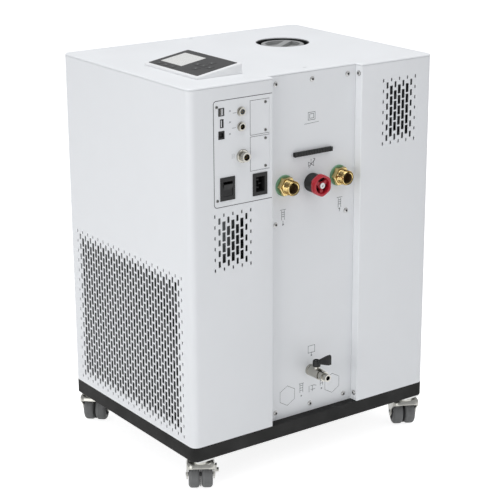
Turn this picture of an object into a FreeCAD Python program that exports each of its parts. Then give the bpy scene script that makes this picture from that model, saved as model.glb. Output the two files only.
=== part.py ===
import FreeCAD, Part
import math
import os

# Floor-standing process temperature unit on castors, in millimetres. X runs from the
# plain left side to the connection side, Y from the front to the rear, Z up from the
# floor. Pieces are built round the cabinet's centre. At the end they all move together,
# so that the origin is the middle of the whole outline, castors and lever included.

V = FreeCAD.Vector
AXIS_X = V(1, 0, 0)
AXIS_Y = V(0, 1, 0)
AXIS_Z = V(0, 0, 1)

# Cabinet
WIDTH = 430.0
DEPTH = 550.0
HEIGHT = 760.0
CORNER_RADIUS = 14.0
SHEET = 1.5
SEAM = 0.5
SEAT = 0.2
TOP_EDGE_RADIUS = 3.0
FOLD_RADIUS = 2.0

# Base tray
BASE_HEIGHT = 28.0
BASE_WALL = 3.0
BASE_FLANGE = 24.0
BASE_EDGE_RADIUS = 2.0

# Recessed service panel in the connection side
RECESS_DEPTH = 18.0
RECESS_FRONT = -98.0
RECESS_WIDTH = 201.0
LIP_WIDTH = 26.0

# Castors
CASTOR_HEIGHT = 72.0
WHEEL_RADIUS = 25.0
WHEEL_WIDTH = 19.6
WHEEL_EDGE_RADIUS = 4.5
WHEEL_SIDE_GAP = 0.4
CASTOR_TRAIL = 24.0
CASTOR_INSET_X = 21.0
CASTOR_INSET_Y = 27.5
CASTOR_HEADINGS = {
    "front_right": 147.0, "front_left": 136.0, "rear_right": 152.0, "rear_left": 142.0}
CASTOR_PLATE = 38.0
CASTOR_PLATE_THICK = 3.0
SWIVEL_RACE_RADIUS = 15.0
SWIVEL_RACE_HEIGHT = 3.0
SWIVEL_PIN_RADIUS = 5.0
SWIVEL_PIN_LENGTH = 9.0
SWIVEL_GAP = 0.4
HOOD_WALL = 4.5
HOOD_WEB = 4.0
HOOD_ARCH_CLEARANCE = 1.5
HOOD_ARCH_WALL = 2.5
HOOD_NECK_RADIUS = 15.0
HOOD_SKIRT_HEIGHT = 31.0
HOOD_CREST = 64.5
HOOD_CREST_BACK = -13.0
HOOD_NOSE = 16.0
HOOD_FRONT_RADIUS = 11.0
HOOD_REAR_RADIUS = 9.0
HOOD_MOUTH_TOP = 47.0
HOOD_MOUTH_RADIUS = 6.0
HOOD_SHIN = -8.0
LEG_RADIUS = 10.0
AXLE_RADIUS = 4.0
RUNNING_CLEARANCE = 0.05
HUB_RECESS_RADIUS = 13.0
HUB_RECESS_DEPTH = 3.0
PEDAL_PIVOT = (-30.0, 40.0)
PEDAL_TIP = (-50.0, 21.0)
PEDAL_ARM_RADIUS = 4.0
PEDAL_THICK = 3.0
PEDAL_TAB = 7.0
PEDAL_PIN_RADIUS = 2.0
PEDAL_GAP = 0.4

# Ventilation slots: the side fields have the real spacing, and the wide front and
# rear fields have fewer, larger slots over the real area.
SLOT_ACROSS = 9.66
SLOT_PITCH = 19.6
SLOT_LARGE = (6.0, 17.2)
SLOT_MEDIUM = (3.6, 11.5)
SLOT_TINY = (2.2, 6.0)
SIDE_COLUMNS = 9
LOW_VENT_ROWS = 6
LOW_VENT_CENTRE = (-185.0, 281.0)
HIGH_VENT_ROWS = 7
HIGH_VENT_CENTRE = (193.5, 96.5)
GRILLE_COLUMNS = 21
GRILLE_ROWS = 8
GRILLE_WIDTH = 365.0
GRILLE_HEIGHT = 298.0
GRILLE_BOTTOM = 14.0
REAR_VENT_COLUMNS = 11
REAR_VENT_ROWS = 4
REAR_VENT_BOTTOM = 60.0

# Top cover details
LIFT_SLOT_LENGTH = 9.0
LIFT_SLOT_WIDTH = 2.2
LIFT_SLOT_INSET = 21.0

# Operating console on the top, a shallow wedge rising to the rear
CONSOLE_LEFT = -16.0
CONSOLE_FRONT = -218.0
CONSOLE_WIDTH = 172.0
CONSOLE_LENGTH = 97.0
CONSOLE_LOW = 4.5
CONSOLE_HIGH = 19.5
CONSOLE_WALL = 2.5
CONSOLE_EDGE_RADIUS = 2.5
OVERLAY_MARGIN_X = 6.5
OVERLAY_MARGIN_Y = 5.5
OVERLAY_THICK = 1.0
OVERLAY_PROUD = 0.3
OVERLAY_GAP = 0.15
SCREEN_LEFT = 12.0
SCREEN_FRONT = 19.5
SCREEN_WIDTH = 68.0
SCREEN_LENGTH = 54.0
SCREEN_THICK = 0.6

# Filling point on the top
FILLER_X = -54.0
FILLER_Y = 124.0
FILLER_HOLE_RADIUS = 52.5
WELL_WALL = 2.5
WELL_FLANGE = 7.0
WELL_FLANGE_THICK = 2.0
WELL_DEPTH = 24.0
NECK_RADIUS = 29.0
NECK_WALL = 2.5
NECK_COLLAR_HEIGHT = 8.0
CAP_RADIUS = 42.0
CAP_DROP = 3.0
CAP_HEIGHT = 18.0
CAP_TOP_THICK = 10.0
CAP_GRIP_WIDTH = 14.0
CAP_HOLLOW_RADIUS = 34.0
CAP_HOLLOW_DEPTH = 7.0
CAP_SPIGOT_LENGTH = 9.0
CAP_SPIGOT_WALL = 2.5
CAP_SEAL_GAP = 0.3

# Inlet and outlet panel. Its places are (y, distance below the lid's face).
IO_FRONT = -224.0
IO_TOP = 27.5
IO_HEIGHT = 188.5
IO_CORNER_RADIUS = 5.0
MODULE_LEFT = -147.0
MODULE_WIDTH = 41.0
MODULE_HEIGHT = 61.0
MODULE_PITCH = 64.5
MODULE_TOP = 35.5
MODULE_GAP = 0.4
MODULE_SCREW_EDGE = 5.5
MODULE_SCREW_MARGIN = 8.5
SWITCH_CENTRE = (-196.3, 184.7)
SWITCH_SIZE = (31.0, 42.0)
SWITCH_BEZEL = 2.0
SWITCH_BODY_DEPTH = 26.0
ROCKER_SIZE = (19.0, 26.0)
ROCKER_RADIUS = 24.0
ROCKER_GAP = 0.4
ROCKER_TILT = 8.0
ROCKER_PIVOT_RADIUS = 1.5
INLET_CENTRE = (-127.0, 187.0)
INLET_SIZE = (30.5, 40.5)
INLET_BEZEL = 2.0
INLET_CAVITY = (19.0, 27.5)
INLET_CAVITY_DEPTH = 18.0
INLET_BODY_WALL = 2.0
INLET_PIN = (2.0, 5.0)
INLET_PIN_LENGTH = 12.0
INLET_PIN_SPACING = 7.0
NETWORK_CENTRE = (-208.0, 47.5)
NETWORK_SIZE = (12.0, 14.0)
NETWORK_CAVITY = (7.0, 11.6)
HOST_CENTRE = (-207.0, 67.6)
HOST_SIZE = (7.0, 15.0)
HOST_CAVITY = (4.6, 12.2)
DEVICE_CENTRE = (-208.0, 88.0)
DEVICE_SIZE = (12.5, 14.5)
DEVICE_CAVITY = (8.4, 8.4)
SOCKET_DEPTH = 12.0
SOCKET_WALL_BACK = 3.0
ROUND_SOCKET_Y = -166.5
ROUND_SOCKET_DROPS = (51.3, 77.9)
ROUND_SOCKET_RADIUS = 8.5
ROUND_NUT_THICK = 2.5
ROUND_NOSE_RADIUS = 6.8
ROUND_NOSE_LENGTH = 2.5
ROUND_BORE_RADIUS = 4.8
ROUND_BODY_RADIUS = 6.0
ROUND_BODY_LENGTH = 14.0
FIELD_CENTRE = (-164.5, 130.8)
FIELD_FLANGE_RADIUS = 12.0
FIELD_FLANGE_THICK = 4.0
FIELD_NOSE_RADIUS = 8.5
FIELD_NOSE_LENGTH = 10.0
FIELD_BORE_RADIUS = 5.9
FIELD_BODY_LENGTH = 15.0

# Hydraulic connections on the service panel
PORT_SPACING = 124.0
PORTS_BELOW_GRIP = 54.0
SEAL_RADIUS = 19.5
SEAL_THICK = 3.0
HEX_FLATS = 32.0
HEX_THICK = 10.0
THREAD_RADIUS = 13.2
THREAD_LENGTH = 17.0
THREAD_CHAMFER = 1.2
NOZZLE_GROOVE = 1.2
NOZZLE_BORE_RADIUS = 9.5
SHANK_RADIUS = 13.0
SHANK_INSIDE = 10.0
PIPE_BORE_RADIUS = 9.0
PIPE_WALL = 2.0
PIPE_BEND_RADIUS = 32.0
HOLE_CLEARANCE = 0.3

# Bypass valve between the ports
BYPASS_BELOW_GRIP = 57.5
BONNET_RADIUS = 17.5
BONNET_LENGTH = 22.0
STEM_RADIUS = 4.0
HANDWHEEL_GAP = 0.5
HANDWHEEL_ACROSS = 46.0
HANDWHEEL_THICK = 12.0
HANDWHEEL_LOBE_RADIUS = 9.0
HANDWHEEL_DISH_RADIUS = 17.5
HANDWHEEL_DISH_DEPTH = 4.0
HANDWHEEL_HUB_RADIUS = 7.5
HANDWHEEL_SPOKES = 3
WINDOW_ANGLE = 72.0
WINDOW_WALL = 1.5
CAP_SCREW_RADIUS = 4.2
CAP_SCREW_HEIGHT = 2.5

# Drain ball valve
DRAIN_HEIGHT = 84.0
DRAIN_FLANGE_RADIUS = 11.0
DRAIN_FLANGE_THICK = 5.0
DRAIN_BODY_RADIUS = 10.5
DRAIN_BODY_LENGTH = 34.0
DRAIN_NECK_RADIUS = 8.0
DRAIN_NECK_LENGTH = 2.0
DRAIN_COLLAR_RADIUS = 9.5
DRAIN_COLLAR_LENGTH = 9.0
DRAIN_NOZZLE_RADIUS = 7.0
DRAIN_NOZZLE_LENGTH = 10.0
DRAIN_BORE_RADIUS = 4.5
DRAIN_TAIL_LENGTH = 12.0
DRAIN_NUT_FLATS = 24.0
DRAIN_NUT_THICK = 6.0
GLAND_RADIUS = 6.5
GLAND_HEIGHT = 13.0
VALVE_STEM_RADIUS = 2.5
VALVE_STEM_OFFSET = 20.0
LEVER_HUB_RADIUS = 7.5
LEVER_HUB_HEIGHT = 7.0
LEVER_GAP = 0.4
LEVER_REACH = 40.0
LEVER_THICK = 5.0
LEVER_TIP_LOW = 28.0
LEVER_TIP_HIGH = 47.0
LEVER_NUT_HEIGHT = 3.0
LEVER_NUT_RADIUS = 4.0

# Panel grip and the two hexagonal blanks
GRIP_BELOW_TOP = 151.0
GRIP_LENGTH = 86.0
GRIP_SIZE = 8.0
GRIP_DEPTH = 7.0
GRIP_FOOT = 1.5
GRIP_RIBS = 14
GRIP_RIB_DEPTH = 0.8
BLANK_SPACING = 107.0
BLANK_HEIGHT = 43.7
BLANK_FLATS = 34.0
BLANK_GAP = 0.5
BLANK_TAB = 3.0

# Screws
SCREW_HEAD_RADIUS = 3.6
SCREW_HEAD_HEIGHT = 1.8
SCREW_SHANK_RADIUS = 2.0
SCREW_SHANK_LENGTH = 6.0
PANEL_SCREW_SPACING = 163.0
PANEL_SCREW_TOP = 18.0
PANEL_SCREW_BOTTOM = 15.3
MIDDLE_SCREWS_BELOW_PORTS = 71.0
IO_SCREW_Y = -217.7
IO_SCREW_DROPS = (38.0, 204.0)
SMALL_SCREW_SCALE = 0.75

# Inside
FRAME_INSET = 2.0
ANGLE_SIZE = 25.0
ANGLE_THICK = 2.5
RAIL_SIZE = 20.0
SHELF_HEIGHT = 317.0
SHELF_THICK = 3.0
CONDENSER_SIZE = (370.0, 21.0, 300.0)
CONDENSER_SETBACK = 3.0
SHROUD_SIDE_GAP = 3.0
SHROUD_THICK = 2.0
FAN_RADIUS = 128.0
FAN_TIP_GAP = 5.0
FAN_HUB_RADIUS = 34.0
FAN_HUB_LENGTH = 24.0
FAN_BLADES = 5
FAN_BLADE_WIDTH = 46.0
FAN_BLADE_THICK = 2.5
FAN_BLADE_PITCH = 28.0
FAN_GAP = 4.0
MOTOR_RADIUS = 38.0
MOTOR_LENGTH = 45.0
MOTOR_SHAFT_RADIUS = 4.0
MOTOR_SHAFT_DEPTH = 15.0
STRUT_WIDTH = 14.0
STRUT_THICK = 4.0
COMPRESSOR_RADIUS = 72.0
COMPRESSOR_HEIGHT = 190.0
COMPRESSOR_FOOT = 12.0
COMPRESSOR_X = -60.0
COMPRESSOR_Y = 60.0
TANK_SIZE = (170.0, 170.0, 220.0)
TANK_RADIUS = 12.0
PUMP_RADIUS = 42.0
PUMP_LENGTH = 130.0
PUMP_FOOT = 14.0
PUMP_X = 110.0
EXCHANGER_SIZE = (76.0, 90.0, 230.0)
EXCHANGER_X = -120.0
EXCHANGER_Y = 200.0
CONTROL_BOX_WIDTH = 120.0
CONTROL_BOX_GAP = 10.0
CONTROL_BOX_HEADROOM = 18.1
CONTROL_BOX_PIPE_GAP = 23.5

# Levels and planes worked out from the sizes above
BASE_BOTTOM = CASTOR_HEIGHT
BODY_BOTTOM = BASE_BOTTOM + BASE_HEIGHT
TRAY_FLOOR = BASE_BOTTOM + BASE_WALL
LID_BOTTOM = HEIGHT - TOP_EDGE_RADIUS - SEAM
COVER_TOP = LID_BOTTOM - SEAM
SIDE_X = WIDTH / 2
PANEL_X = SIDE_X - RECESS_DEPTH
PANEL_BACK = PANEL_X - SHEET
RECESS_REAR = RECESS_FRONT + RECESS_WIDTH
RECESS_MIDDLE = RECESS_FRONT + RECESS_WIDTH / 2
FRONT_Y = -DEPTH / 2
REAR_Y = DEPTH / 2
FRAME_X = SIDE_X - BASE_FLANGE - FRAME_INSET
FRAME_Y = REAR_Y - BASE_FLANGE - FRAME_INSET
FRAME_TOP = HEIGHT - SHEET - SEAT
LEVER_X = PANEL_X + VALVE_STEM_OFFSET

parts = {}


def above_base(z):
    """Height above the floor of a place measured from the white body's lower edge."""
    return BODY_BOTTOM + z


def below_top(drop):
    """Height above the floor of a place measured down from the lid's face."""
    return HEIGHT - drop


def grip_z():
    return below_top(GRIP_BELOW_TOP)


def port_z():
    return grip_z() - PORTS_BELOW_GRIP


def bypass_z():
    return grip_z() - BYPASS_BELOW_GRIP


def block(x0, x1, y0, y1, z0, z1):
    return Part.makeBox(x1 - x0, y1 - y0, z1 - z0, V(x0, y0, z0))


def rod(radius, start, axis, length):
    return Part.makeCylinder(radius, length, start, axis)


def joined(shapes):
    """One solid from touching or overlapping pieces, without leftover seams."""
    return shapes[0].multiFuse(shapes[1:]).removeSplitter()


def polygon_prism(points, depth):
    """A closed outline through the points, pushed along the depth vector."""
    return Part.Face(Part.makePolygon(points + [points[0]])).extrude(depth)


def rounded_block(width, depth, radius, z0, z1, centre=(0.0, 0.0)):
    """An upright box with rounded vertical edges."""
    cx, cy = centre
    body = block(cx - width / 2, cx + width / 2, cy - depth / 2, cy + depth / 2, z0, z1)
    upright = [e for e in body.Edges if abs(e.Vertexes[0].Z - e.Vertexes[1].Z) > (z1 - z0) / 2]
    return body.makeFillet(radius, upright)


def hexagon(centre, flats, axis, length):
    """A hexagonal bar along X with a corner straight up."""
    corner = flats / math.sqrt(3)
    points = []
    for step in range(6):
        angle = math.radians(60 * step + 90)
        points.append(centre + V(0, corner * math.cos(angle), corner * math.sin(angle)))
    return polygon_prism(points, axis * length)


def turned(profile, start, axis=AXIS_X):
    """A solid of revolution from (distance along the axis, radius) points."""
    points = [V(along, radius, 0) for along, radius in profile]
    face = Part.Face(Part.makePolygon(points + [points[0]]))
    solid = face.revolve(V(0, 0, 0), AXIS_X, 360)
    solid.Placement = FreeCAD.Placement(start, FreeCAD.Rotation(AXIS_X, axis))
    return solid


def edges_where(shape, test):
    return [edge for edge in shape.Edges if test(edge)]


def edge_at(edge, x=None, y=None, z=None, reach=0.01):
    """True where both ends of the edge lie on the given planes."""
    for vertex in edge.Vertexes:
        point = vertex.Point
        if x is not None and abs(point.x - x) > reach:
            return False
        if y is not None and abs(point.y - y) > reach:
            return False
        if z is not None and abs(point.z - z) > reach:
            return False
    return True


def slot_field(columns, rows, across, pitch, scale=1.0):
    """Staggered slots that shrink at the border: (u, v, width, height) from the centre."""
    slots = []
    for column in range(columns):
        edge = min(column, columns - 1 - column)
        count = rows if column % 2 == 0 else rows - 1
        for row in range(count):
            at_end = row in (0, count - 1)
            if edge == 0 or (column % 2 == 0 and at_end):
                size = SLOT_TINY
            elif edge == 1 or at_end:
                size = SLOT_MEDIUM
            else:
                size = SLOT_LARGE
            u = (column - (columns - 1) / 2) * across
            v = (row - (count - 1) / 2) * pitch
            slots.append((u, v, size[0] * scale, size[1] * scale))
    return slots


def side_slots(field, centre, x0, x1):
    """Slots through a wall that faces X."""
    cy, cz = centre
    cutters = []
    for u, v, width, height in field:
        y = cy + u
        z = cz + v
        cutters.append(block(x0, x1, y - width / 2, y + width / 2, z - height / 2, z + height / 2))
    return Part.makeCompound(cutters)


def end_slots(field, centre, y0, y1):
    """Slots through a wall that faces Y."""
    cx, cz = centre
    cutters = []
    for u, v, width, height in field:
        x = cx + u
        z = cz + v
        cutters.append(block(x - width / 2, x + width / 2, y0, y1, z - height / 2, z + height / 2))
    return Part.makeCompound(cutters)


def wide_field(columns, rows):
    """The front and rear field: the same area and pattern with coarser spacing."""
    across = GRILLE_WIDTH / (GRILLE_COLUMNS - 1)
    pitch = GRILLE_HEIGHT / (GRILLE_ROWS - 1)
    return slot_field(columns, rows, across, pitch, across / SLOT_ACROSS)


def screw_places():
    """Centres of the pan-head screws that hold the service panel: (y, height)."""
    half = PANEL_SCREW_SPACING / 2
    places = []
    for z in (below_top(PANEL_SCREW_TOP), above_base(PANEL_SCREW_BOTTOM)):
        for y in (-half, 0.0, half):
            places.append((RECESS_MIDDLE + y, z))
    for y in (-half, half):
        places.append((RECESS_MIDDLE + y, port_z() - MIDDLE_SCREWS_BELOW_PORTS))
    return places


def step_screw_places():
    """The two screws in the rear step of the recess: (x, height)."""
    x = (SIDE_X + PANEL_X) / 2
    return [(x, below_top(PANEL_SCREW_TOP)), (x, above_base(PANEL_SCREW_BOTTOM))]


def module_screw_places():
    places = []
    for index in range(2):
        top = below_top(MODULE_TOP + index * MODULE_PITCH)
        y = MODULE_LEFT + MODULE_WIDTH - MODULE_SCREW_MARGIN
        places.append((y, top - MODULE_SCREW_EDGE))
        places.append((y, top - MODULE_HEIGHT + MODULE_SCREW_EDGE))
    return places


def io_screw_places():
    return [(IO_SCREW_Y, below_top(drop)) for drop in IO_SCREW_DROPS]


def screw(place, axis, scale=1.0):
    """A pan head on a plain shank, seated at the place and facing along the axis."""
    head = rod(SCREW_HEAD_RADIUS * scale, place, axis, SCREW_HEAD_HEIGHT * scale)
    shank = rod(SCREW_SHANK_RADIUS * scale, place, axis * -1, SCREW_SHANK_LENGTH)
    return joined([head, shank])


def screw_holes(places, x0, x1, scale=1.0):
    radius = SCREW_SHANK_RADIUS * scale + HOLE_CLEARANCE
    return [rod(radius, V(x0, y, z), AXIS_X, x1 - x0) for y, z in places]


def make_base_tray():
    """Folded tray: floor, upright wall and a flange turned inwards along the top."""
    outer = rounded_block(WIDTH, DEPTH, CORNER_RADIUS, BASE_BOTTOM, BODY_BOTTOM)
    low = edges_where(outer, lambda e: edge_at(e, z=BASE_BOTTOM))
    outer = outer.makeFillet(BASE_EDGE_RADIUS, low)
    inner = rounded_block(
        WIDTH - 2 * BASE_WALL, DEPTH - 2 * BASE_WALL, CORNER_RADIUS - BASE_WALL,
        TRAY_FLOOR, BODY_BOTTOM - BASE_WALL)
    mouth = block(
        -SIDE_X + BASE_FLANGE, SIDE_X - BASE_FLANGE,
        FRONT_Y + BASE_FLANGE, REAR_Y - BASE_FLANGE,
        BODY_BOTTOM - 2 * BASE_WALL, BODY_BOTTOM + 1)
    return outer.cut([inner, mouth])


def cover_ring():
    """The upright walls of both covers, before they are parted."""
    z0 = BODY_BOTTOM + SEAT
    outer = rounded_block(WIDTH, DEPTH, CORNER_RADIUS, z0, COVER_TOP)
    inner = rounded_block(
        WIDTH - 2 * SHEET, DEPTH - 2 * SHEET, CORNER_RADIUS - SHEET, z0 - 1, COVER_TOP + 1)
    return outer.cut(inner)


def recess_return(edge_y, direction):
    """The fold at one side of the recess: a wall into the cabinet, then a lip."""
    z0 = BODY_BOTTOM + SEAT
    lip_face = PANEL_BACK - SEAT
    wall_ends = sorted((edge_y, edge_y - direction * SHEET))
    lip_ends = sorted((edge_y - direction * SHEET, edge_y + direction * LIP_WIDTH))
    wall = block(lip_face - SHEET, SIDE_X, wall_ends[0], wall_ends[1], z0, COVER_TOP)
    lip = block(lip_face - SHEET, lip_face, lip_ends[0], lip_ends[1], z0, COVER_TOP)
    return [wall, lip]


def io_opening(margin):
    """The cut-out for the inlet and outlet panel, which runs round the recess corner."""
    front = IO_FRONT - margin
    bottom = below_top(IO_TOP + IO_HEIGHT) - margin
    top = below_top(IO_TOP) + margin
    plate = block(PANEL_X + SEAM, SIDE_X + 1, front, RECESS_FRONT + 1, bottom, top)
    corners = edges_where(plate, lambda e: edge_at(e, y=front) and abs(e.Length - 1) < WIDTH)
    rounded = [e for e in corners if abs(e.Vertexes[0].Z - e.Vertexes[1].Z) < 1]
    return plate.makeFillet(IO_CORNER_RADIUS + margin, [
        e for e in rounded if abs(e.Vertexes[0].X - e.Vertexes[1].X) > 1])


def make_front_cover():
    """One folded sheet: left side, perforated front, and the side to the recess."""
    ring = cover_ring()
    left = block(-SIDE_X - 1, 0, FRONT_Y - 1, RECESS_REAR - SEAM / 2, BODY_BOTTOM, HEIGHT)
    right = block(-1, SIDE_X + 1, FRONT_Y - 1, RECESS_FRONT, BODY_BOTTOM, HEIGHT)
    walls = ring.common(joined([left, right]))
    cover = joined([walls] + recess_return(RECESS_FRONT, 1))
    fold = edges_where(cover, lambda e: edge_at(e, x=SIDE_X, y=RECESS_FRONT))
    cover = cover.makeFillet(FOLD_RADIUS, fold)
    cover = cover.cut(io_opening(SEAM))
    grille_middle = above_base(GRILLE_BOTTOM + GRILLE_HEIGHT / 2)
    front_field = end_slots(
        wide_field(GRILLE_COLUMNS, GRILLE_ROWS), (0.0, grille_middle), FRONT_Y - 1, FRONT_Y + 4)
    vent = side_slots(
        slot_field(SIDE_COLUMNS, LOW_VENT_ROWS, SLOT_ACROSS, SLOT_PITCH),
        (LOW_VENT_CENTRE[0], below_top(LOW_VENT_CENTRE[1])), SIDE_X - 4, SIDE_X + 1)
    holes = [s for s in screw_places() if s[0] < RECESS_MIDDLE - 1]
    holes = screw_holes(holes, PANEL_BACK - 5, PANEL_BACK)
    return cover.cut([front_field, vent] + holes)


def make_rear_cover():
    """One folded sheet: both rear sides, the rear wall and the step of the recess."""
    ring = cover_ring()
    left = block(-SIDE_X - 1, 0, RECESS_REAR + SEAM / 2, REAR_Y + 1, BODY_BOTTOM, HEIGHT)
    right = block(-1, SIDE_X + 1, RECESS_REAR, REAR_Y + 1, BODY_BOTTOM, HEIGHT)
    walls = ring.common(joined([left, right]))
    cover = joined([walls] + recess_return(RECESS_REAR, -1))
    fold = edges_where(cover, lambda e: edge_at(e, x=SIDE_X, y=RECESS_REAR))
    cover = cover.makeFillet(FOLD_RADIUS, fold)
    vent = side_slots(
        slot_field(SIDE_COLUMNS, HIGH_VENT_ROWS, SLOT_ACROSS, SLOT_PITCH),
        (HIGH_VENT_CENTRE[0], below_top(HIGH_VENT_CENTRE[1])), SIDE_X - 4, SIDE_X + 1)
    rows_height = (REAR_VENT_ROWS - 1) * GRILLE_HEIGHT / (GRILLE_ROWS - 1)
    middle = above_base(REAR_VENT_BOTTOM + rows_height / 2)
    rear = end_slots(
        wide_field(REAR_VENT_COLUMNS, REAR_VENT_ROWS), (0.0, middle), REAR_Y - 4, REAR_Y + 1)
    holes = [s for s in screw_places() if s[0] > RECESS_MIDDLE + 1]
    holes = screw_holes(holes, PANEL_BACK - 5, PANEL_BACK)
    radius = SCREW_SHANK_RADIUS + HOLE_CLEARANCE
    for x, z in step_screw_places():
        holes.append(rod(radius, V(x, RECESS_REAR - 1, z), AXIS_Y, SHEET + 2))
    return cover.cut([vent, rear] + holes)


def plan_outline(margin, z0, z1, radius):
    """The cabinet's plan with the recess taken out, grown inwards by the margin."""
    body = rounded_block(WIDTH - 2 * margin, DEPTH - 2 * margin, radius, z0, z1)
    recess = block(
        PANEL_X - margin, SIDE_X + 1, RECESS_FRONT - margin, RECESS_REAR + margin, z0 - 1, z1 + 1)
    return body.cut(recess)


def make_top_cover():
    """Shallow pressed lid that follows the plan, with lift slots and the filling hole."""
    outer = plan_outline(0.0, LID_BOTTOM, HEIGHT, CORNER_RADIUS)
    rim = edges_where(outer, lambda e: edge_at(e, z=HEIGHT))
    outer = outer.makeFillet(TOP_EDGE_RADIUS - 0.2, rim)
    inner = plan_outline(SHEET, LID_BOTTOM - 1, HEIGHT - SHEET, CORNER_RADIUS - SHEET)
    lid = outer.cut(inner)
    hole = rod(FILLER_HOLE_RADIUS, V(FILLER_X, FILLER_Y, HEIGHT - 5), AXIS_Z, 10)
    slots = []
    for x in (PANEL_X - LIFT_SLOT_INSET, -SIDE_X + LIFT_SLOT_INSET):
        slots.append(block(
            x - LIFT_SLOT_WIDTH / 2, x + LIFT_SLOT_WIDTH / 2,
            RECESS_MIDDLE - LIFT_SLOT_LENGTH / 2, RECESS_MIDDLE + LIFT_SLOT_LENGTH / 2,
            HEIGHT - 5, HEIGHT + 1))
    return lid.cut([hole] + slots)


def make_service_panel():
    """Flat recessed panel, pierced for the connections, blanks and screws."""
    panel = block(
        PANEL_BACK, PANEL_X, RECESS_FRONT + SEAM, RECESS_REAR - SEAM,
        BODY_BOTTOM + SEAT, COVER_TOP)
    cuts = screw_holes(screw_places(), PANEL_BACK - 1, PANEL_X + 1)
    x0 = PANEL_BACK - 1
    depth = SHEET + 2
    for y in port_places():
        cuts.append(rod(SHANK_RADIUS + HOLE_CLEARANCE, V(x0, y, port_z()), AXIS_X, depth))
    bypass = V(x0, RECESS_MIDDLE, bypass_z())
    cuts.append(rod(BONNET_RADIUS / 2 + HOLE_CLEARANCE, bypass, AXIS_X, depth))
    drain = V(x0, RECESS_MIDDLE, above_base(DRAIN_HEIGHT))
    cuts.append(rod(DRAIN_NECK_RADIUS + HOLE_CLEARANCE, drain, AXIS_X, depth))
    for y in blank_places():
        centre = V(x0, y, above_base(BLANK_HEIGHT))
        cuts.append(hexagon(centre, BLANK_FLATS + 2 * BLANK_GAP, AXIS_X, depth))
    return panel.cut(cuts)


def port_places():
    return (RECESS_MIDDLE - PORT_SPACING / 2, RECESS_MIDDLE + PORT_SPACING / 2)


def blank_places():
    return (RECESS_MIDDLE - BLANK_SPACING / 2, RECESS_MIDDLE + BLANK_SPACING / 2)


def make_hexagon_blanks():
    """Two hexagonal plugs that lie flush in the panel, each on a tab behind it."""
    blanks = []
    for y in blank_places():
        centre = V(PANEL_BACK, y, above_base(BLANK_HEIGHT))
        plate = hexagon(centre, BLANK_FLATS, AXIS_X, SHEET)
        tab = hexagon(centre - AXIS_X * SHEET, BLANK_FLATS + 2 * BLANK_TAB, AXIS_X, SHEET)
        blanks.append(joined([plate, tab]))
    return Part.makeCompound(blanks)


def io_plate(z0, z1):
    """The panel's section: flat on the side wall, turned into the recess at its rear."""
    flat = block(SIDE_X - SHEET, SIDE_X, IO_FRONT, RECESS_FRONT, z0, z1)
    turn = block(PANEL_X + 2 * SEAM, SIDE_X, RECESS_FRONT - SHEET, RECESS_FRONT, z0, z1)
    plate = joined([flat, turn])
    fold = edges_where(plate, lambda e: edge_at(e, x=SIDE_X, y=RECESS_FRONT))
    return plate.makeFillet(FOLD_RADIUS, fold)


def side_block(centre, size, x0, x1):
    """A box through the side wall, centred on a (y, distance below the lid) place."""
    y, z = centre[0], below_top(centre[1])
    return block(x0, x1, y - size[0] / 2, y + size[0] / 2, z - size[1] / 2, z + size[1] / 2)


def make_io_panel():
    """Plate that carries the electrical sockets, with round front corners."""
    plate = io_plate(below_top(IO_TOP + IO_HEIGHT), below_top(IO_TOP))
    corners = edges_where(plate, lambda e: edge_at(e, y=IO_FRONT) and e.Length < SHEET + 0.1)
    plate = plate.makeFillet(IO_CORNER_RADIUS, corners)
    x0 = SIDE_X - SHEET - 1
    x1 = SIDE_X + 1
    cuts = screw_holes(io_screw_places() + module_screw_places(), x0, x1, SMALL_SCREW_SCALE)
    for index in range(2):
        centre = (MODULE_LEFT + MODULE_WIDTH / 2, module_middle(index))
        cuts.append(side_block(centre, (MODULE_WIDTH, MODULE_HEIGHT), SIDE_X - SHEET / 2, x1))
    for centre, size in (
            (SWITCH_CENTRE, inner_size(SWITCH_SIZE)), (INLET_CENTRE, inner_size(INLET_SIZE)),
            (NETWORK_CENTRE, NETWORK_SIZE), (HOST_CENTRE, HOST_SIZE),
            (DEVICE_CENTRE, DEVICE_SIZE)):
        grown = (size[0] + 2 * SEAT, size[1] + 2 * SEAT)
        cuts.append(side_block(centre, grown, x0, x1))
    for drop in ROUND_SOCKET_DROPS:
        place = V(x0, ROUND_SOCKET_Y, below_top(drop))
        cuts.append(rod(ROUND_BODY_RADIUS + HOLE_CLEARANCE, place, AXIS_X, x1 - x0))
    place = V(x0, FIELD_CENTRE[0], below_top(FIELD_CENTRE[1]))
    cuts.append(rod(FIELD_NOSE_RADIUS + HOLE_CLEARANCE, place, AXIS_X, x1 - x0))
    return plate.cut(cuts)


def inner_size(size):
    """The part of a snap-in device that passes the plate, inside its bezel."""
    return (size[0] - 5.0, size[1] - 5.0)


def module_middle(index):
    """How far the middle of one module bay lies below the lid's face."""
    return MODULE_TOP + MODULE_HEIGHT / 2 + index * MODULE_PITCH


def make_module_blanks():
    """Two blank plates let into the panel over the unused module bays."""
    blanks = []
    size = (MODULE_WIDTH - 2 * MODULE_GAP, MODULE_HEIGHT - 2 * MODULE_GAP)
    for index in range(2):
        centre = (MODULE_LEFT + MODULE_WIDTH / 2, module_middle(index))
        plate = side_block(centre, size, SIDE_X - SHEET / 2, SIDE_X)
        holes = screw_holes(module_screw_places(), SIDE_X - SHEET, SIDE_X + 1, SMALL_SCREW_SCALE)
        blanks.append(plate.cut(holes))
    return Part.makeCompound(blanks)


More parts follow.
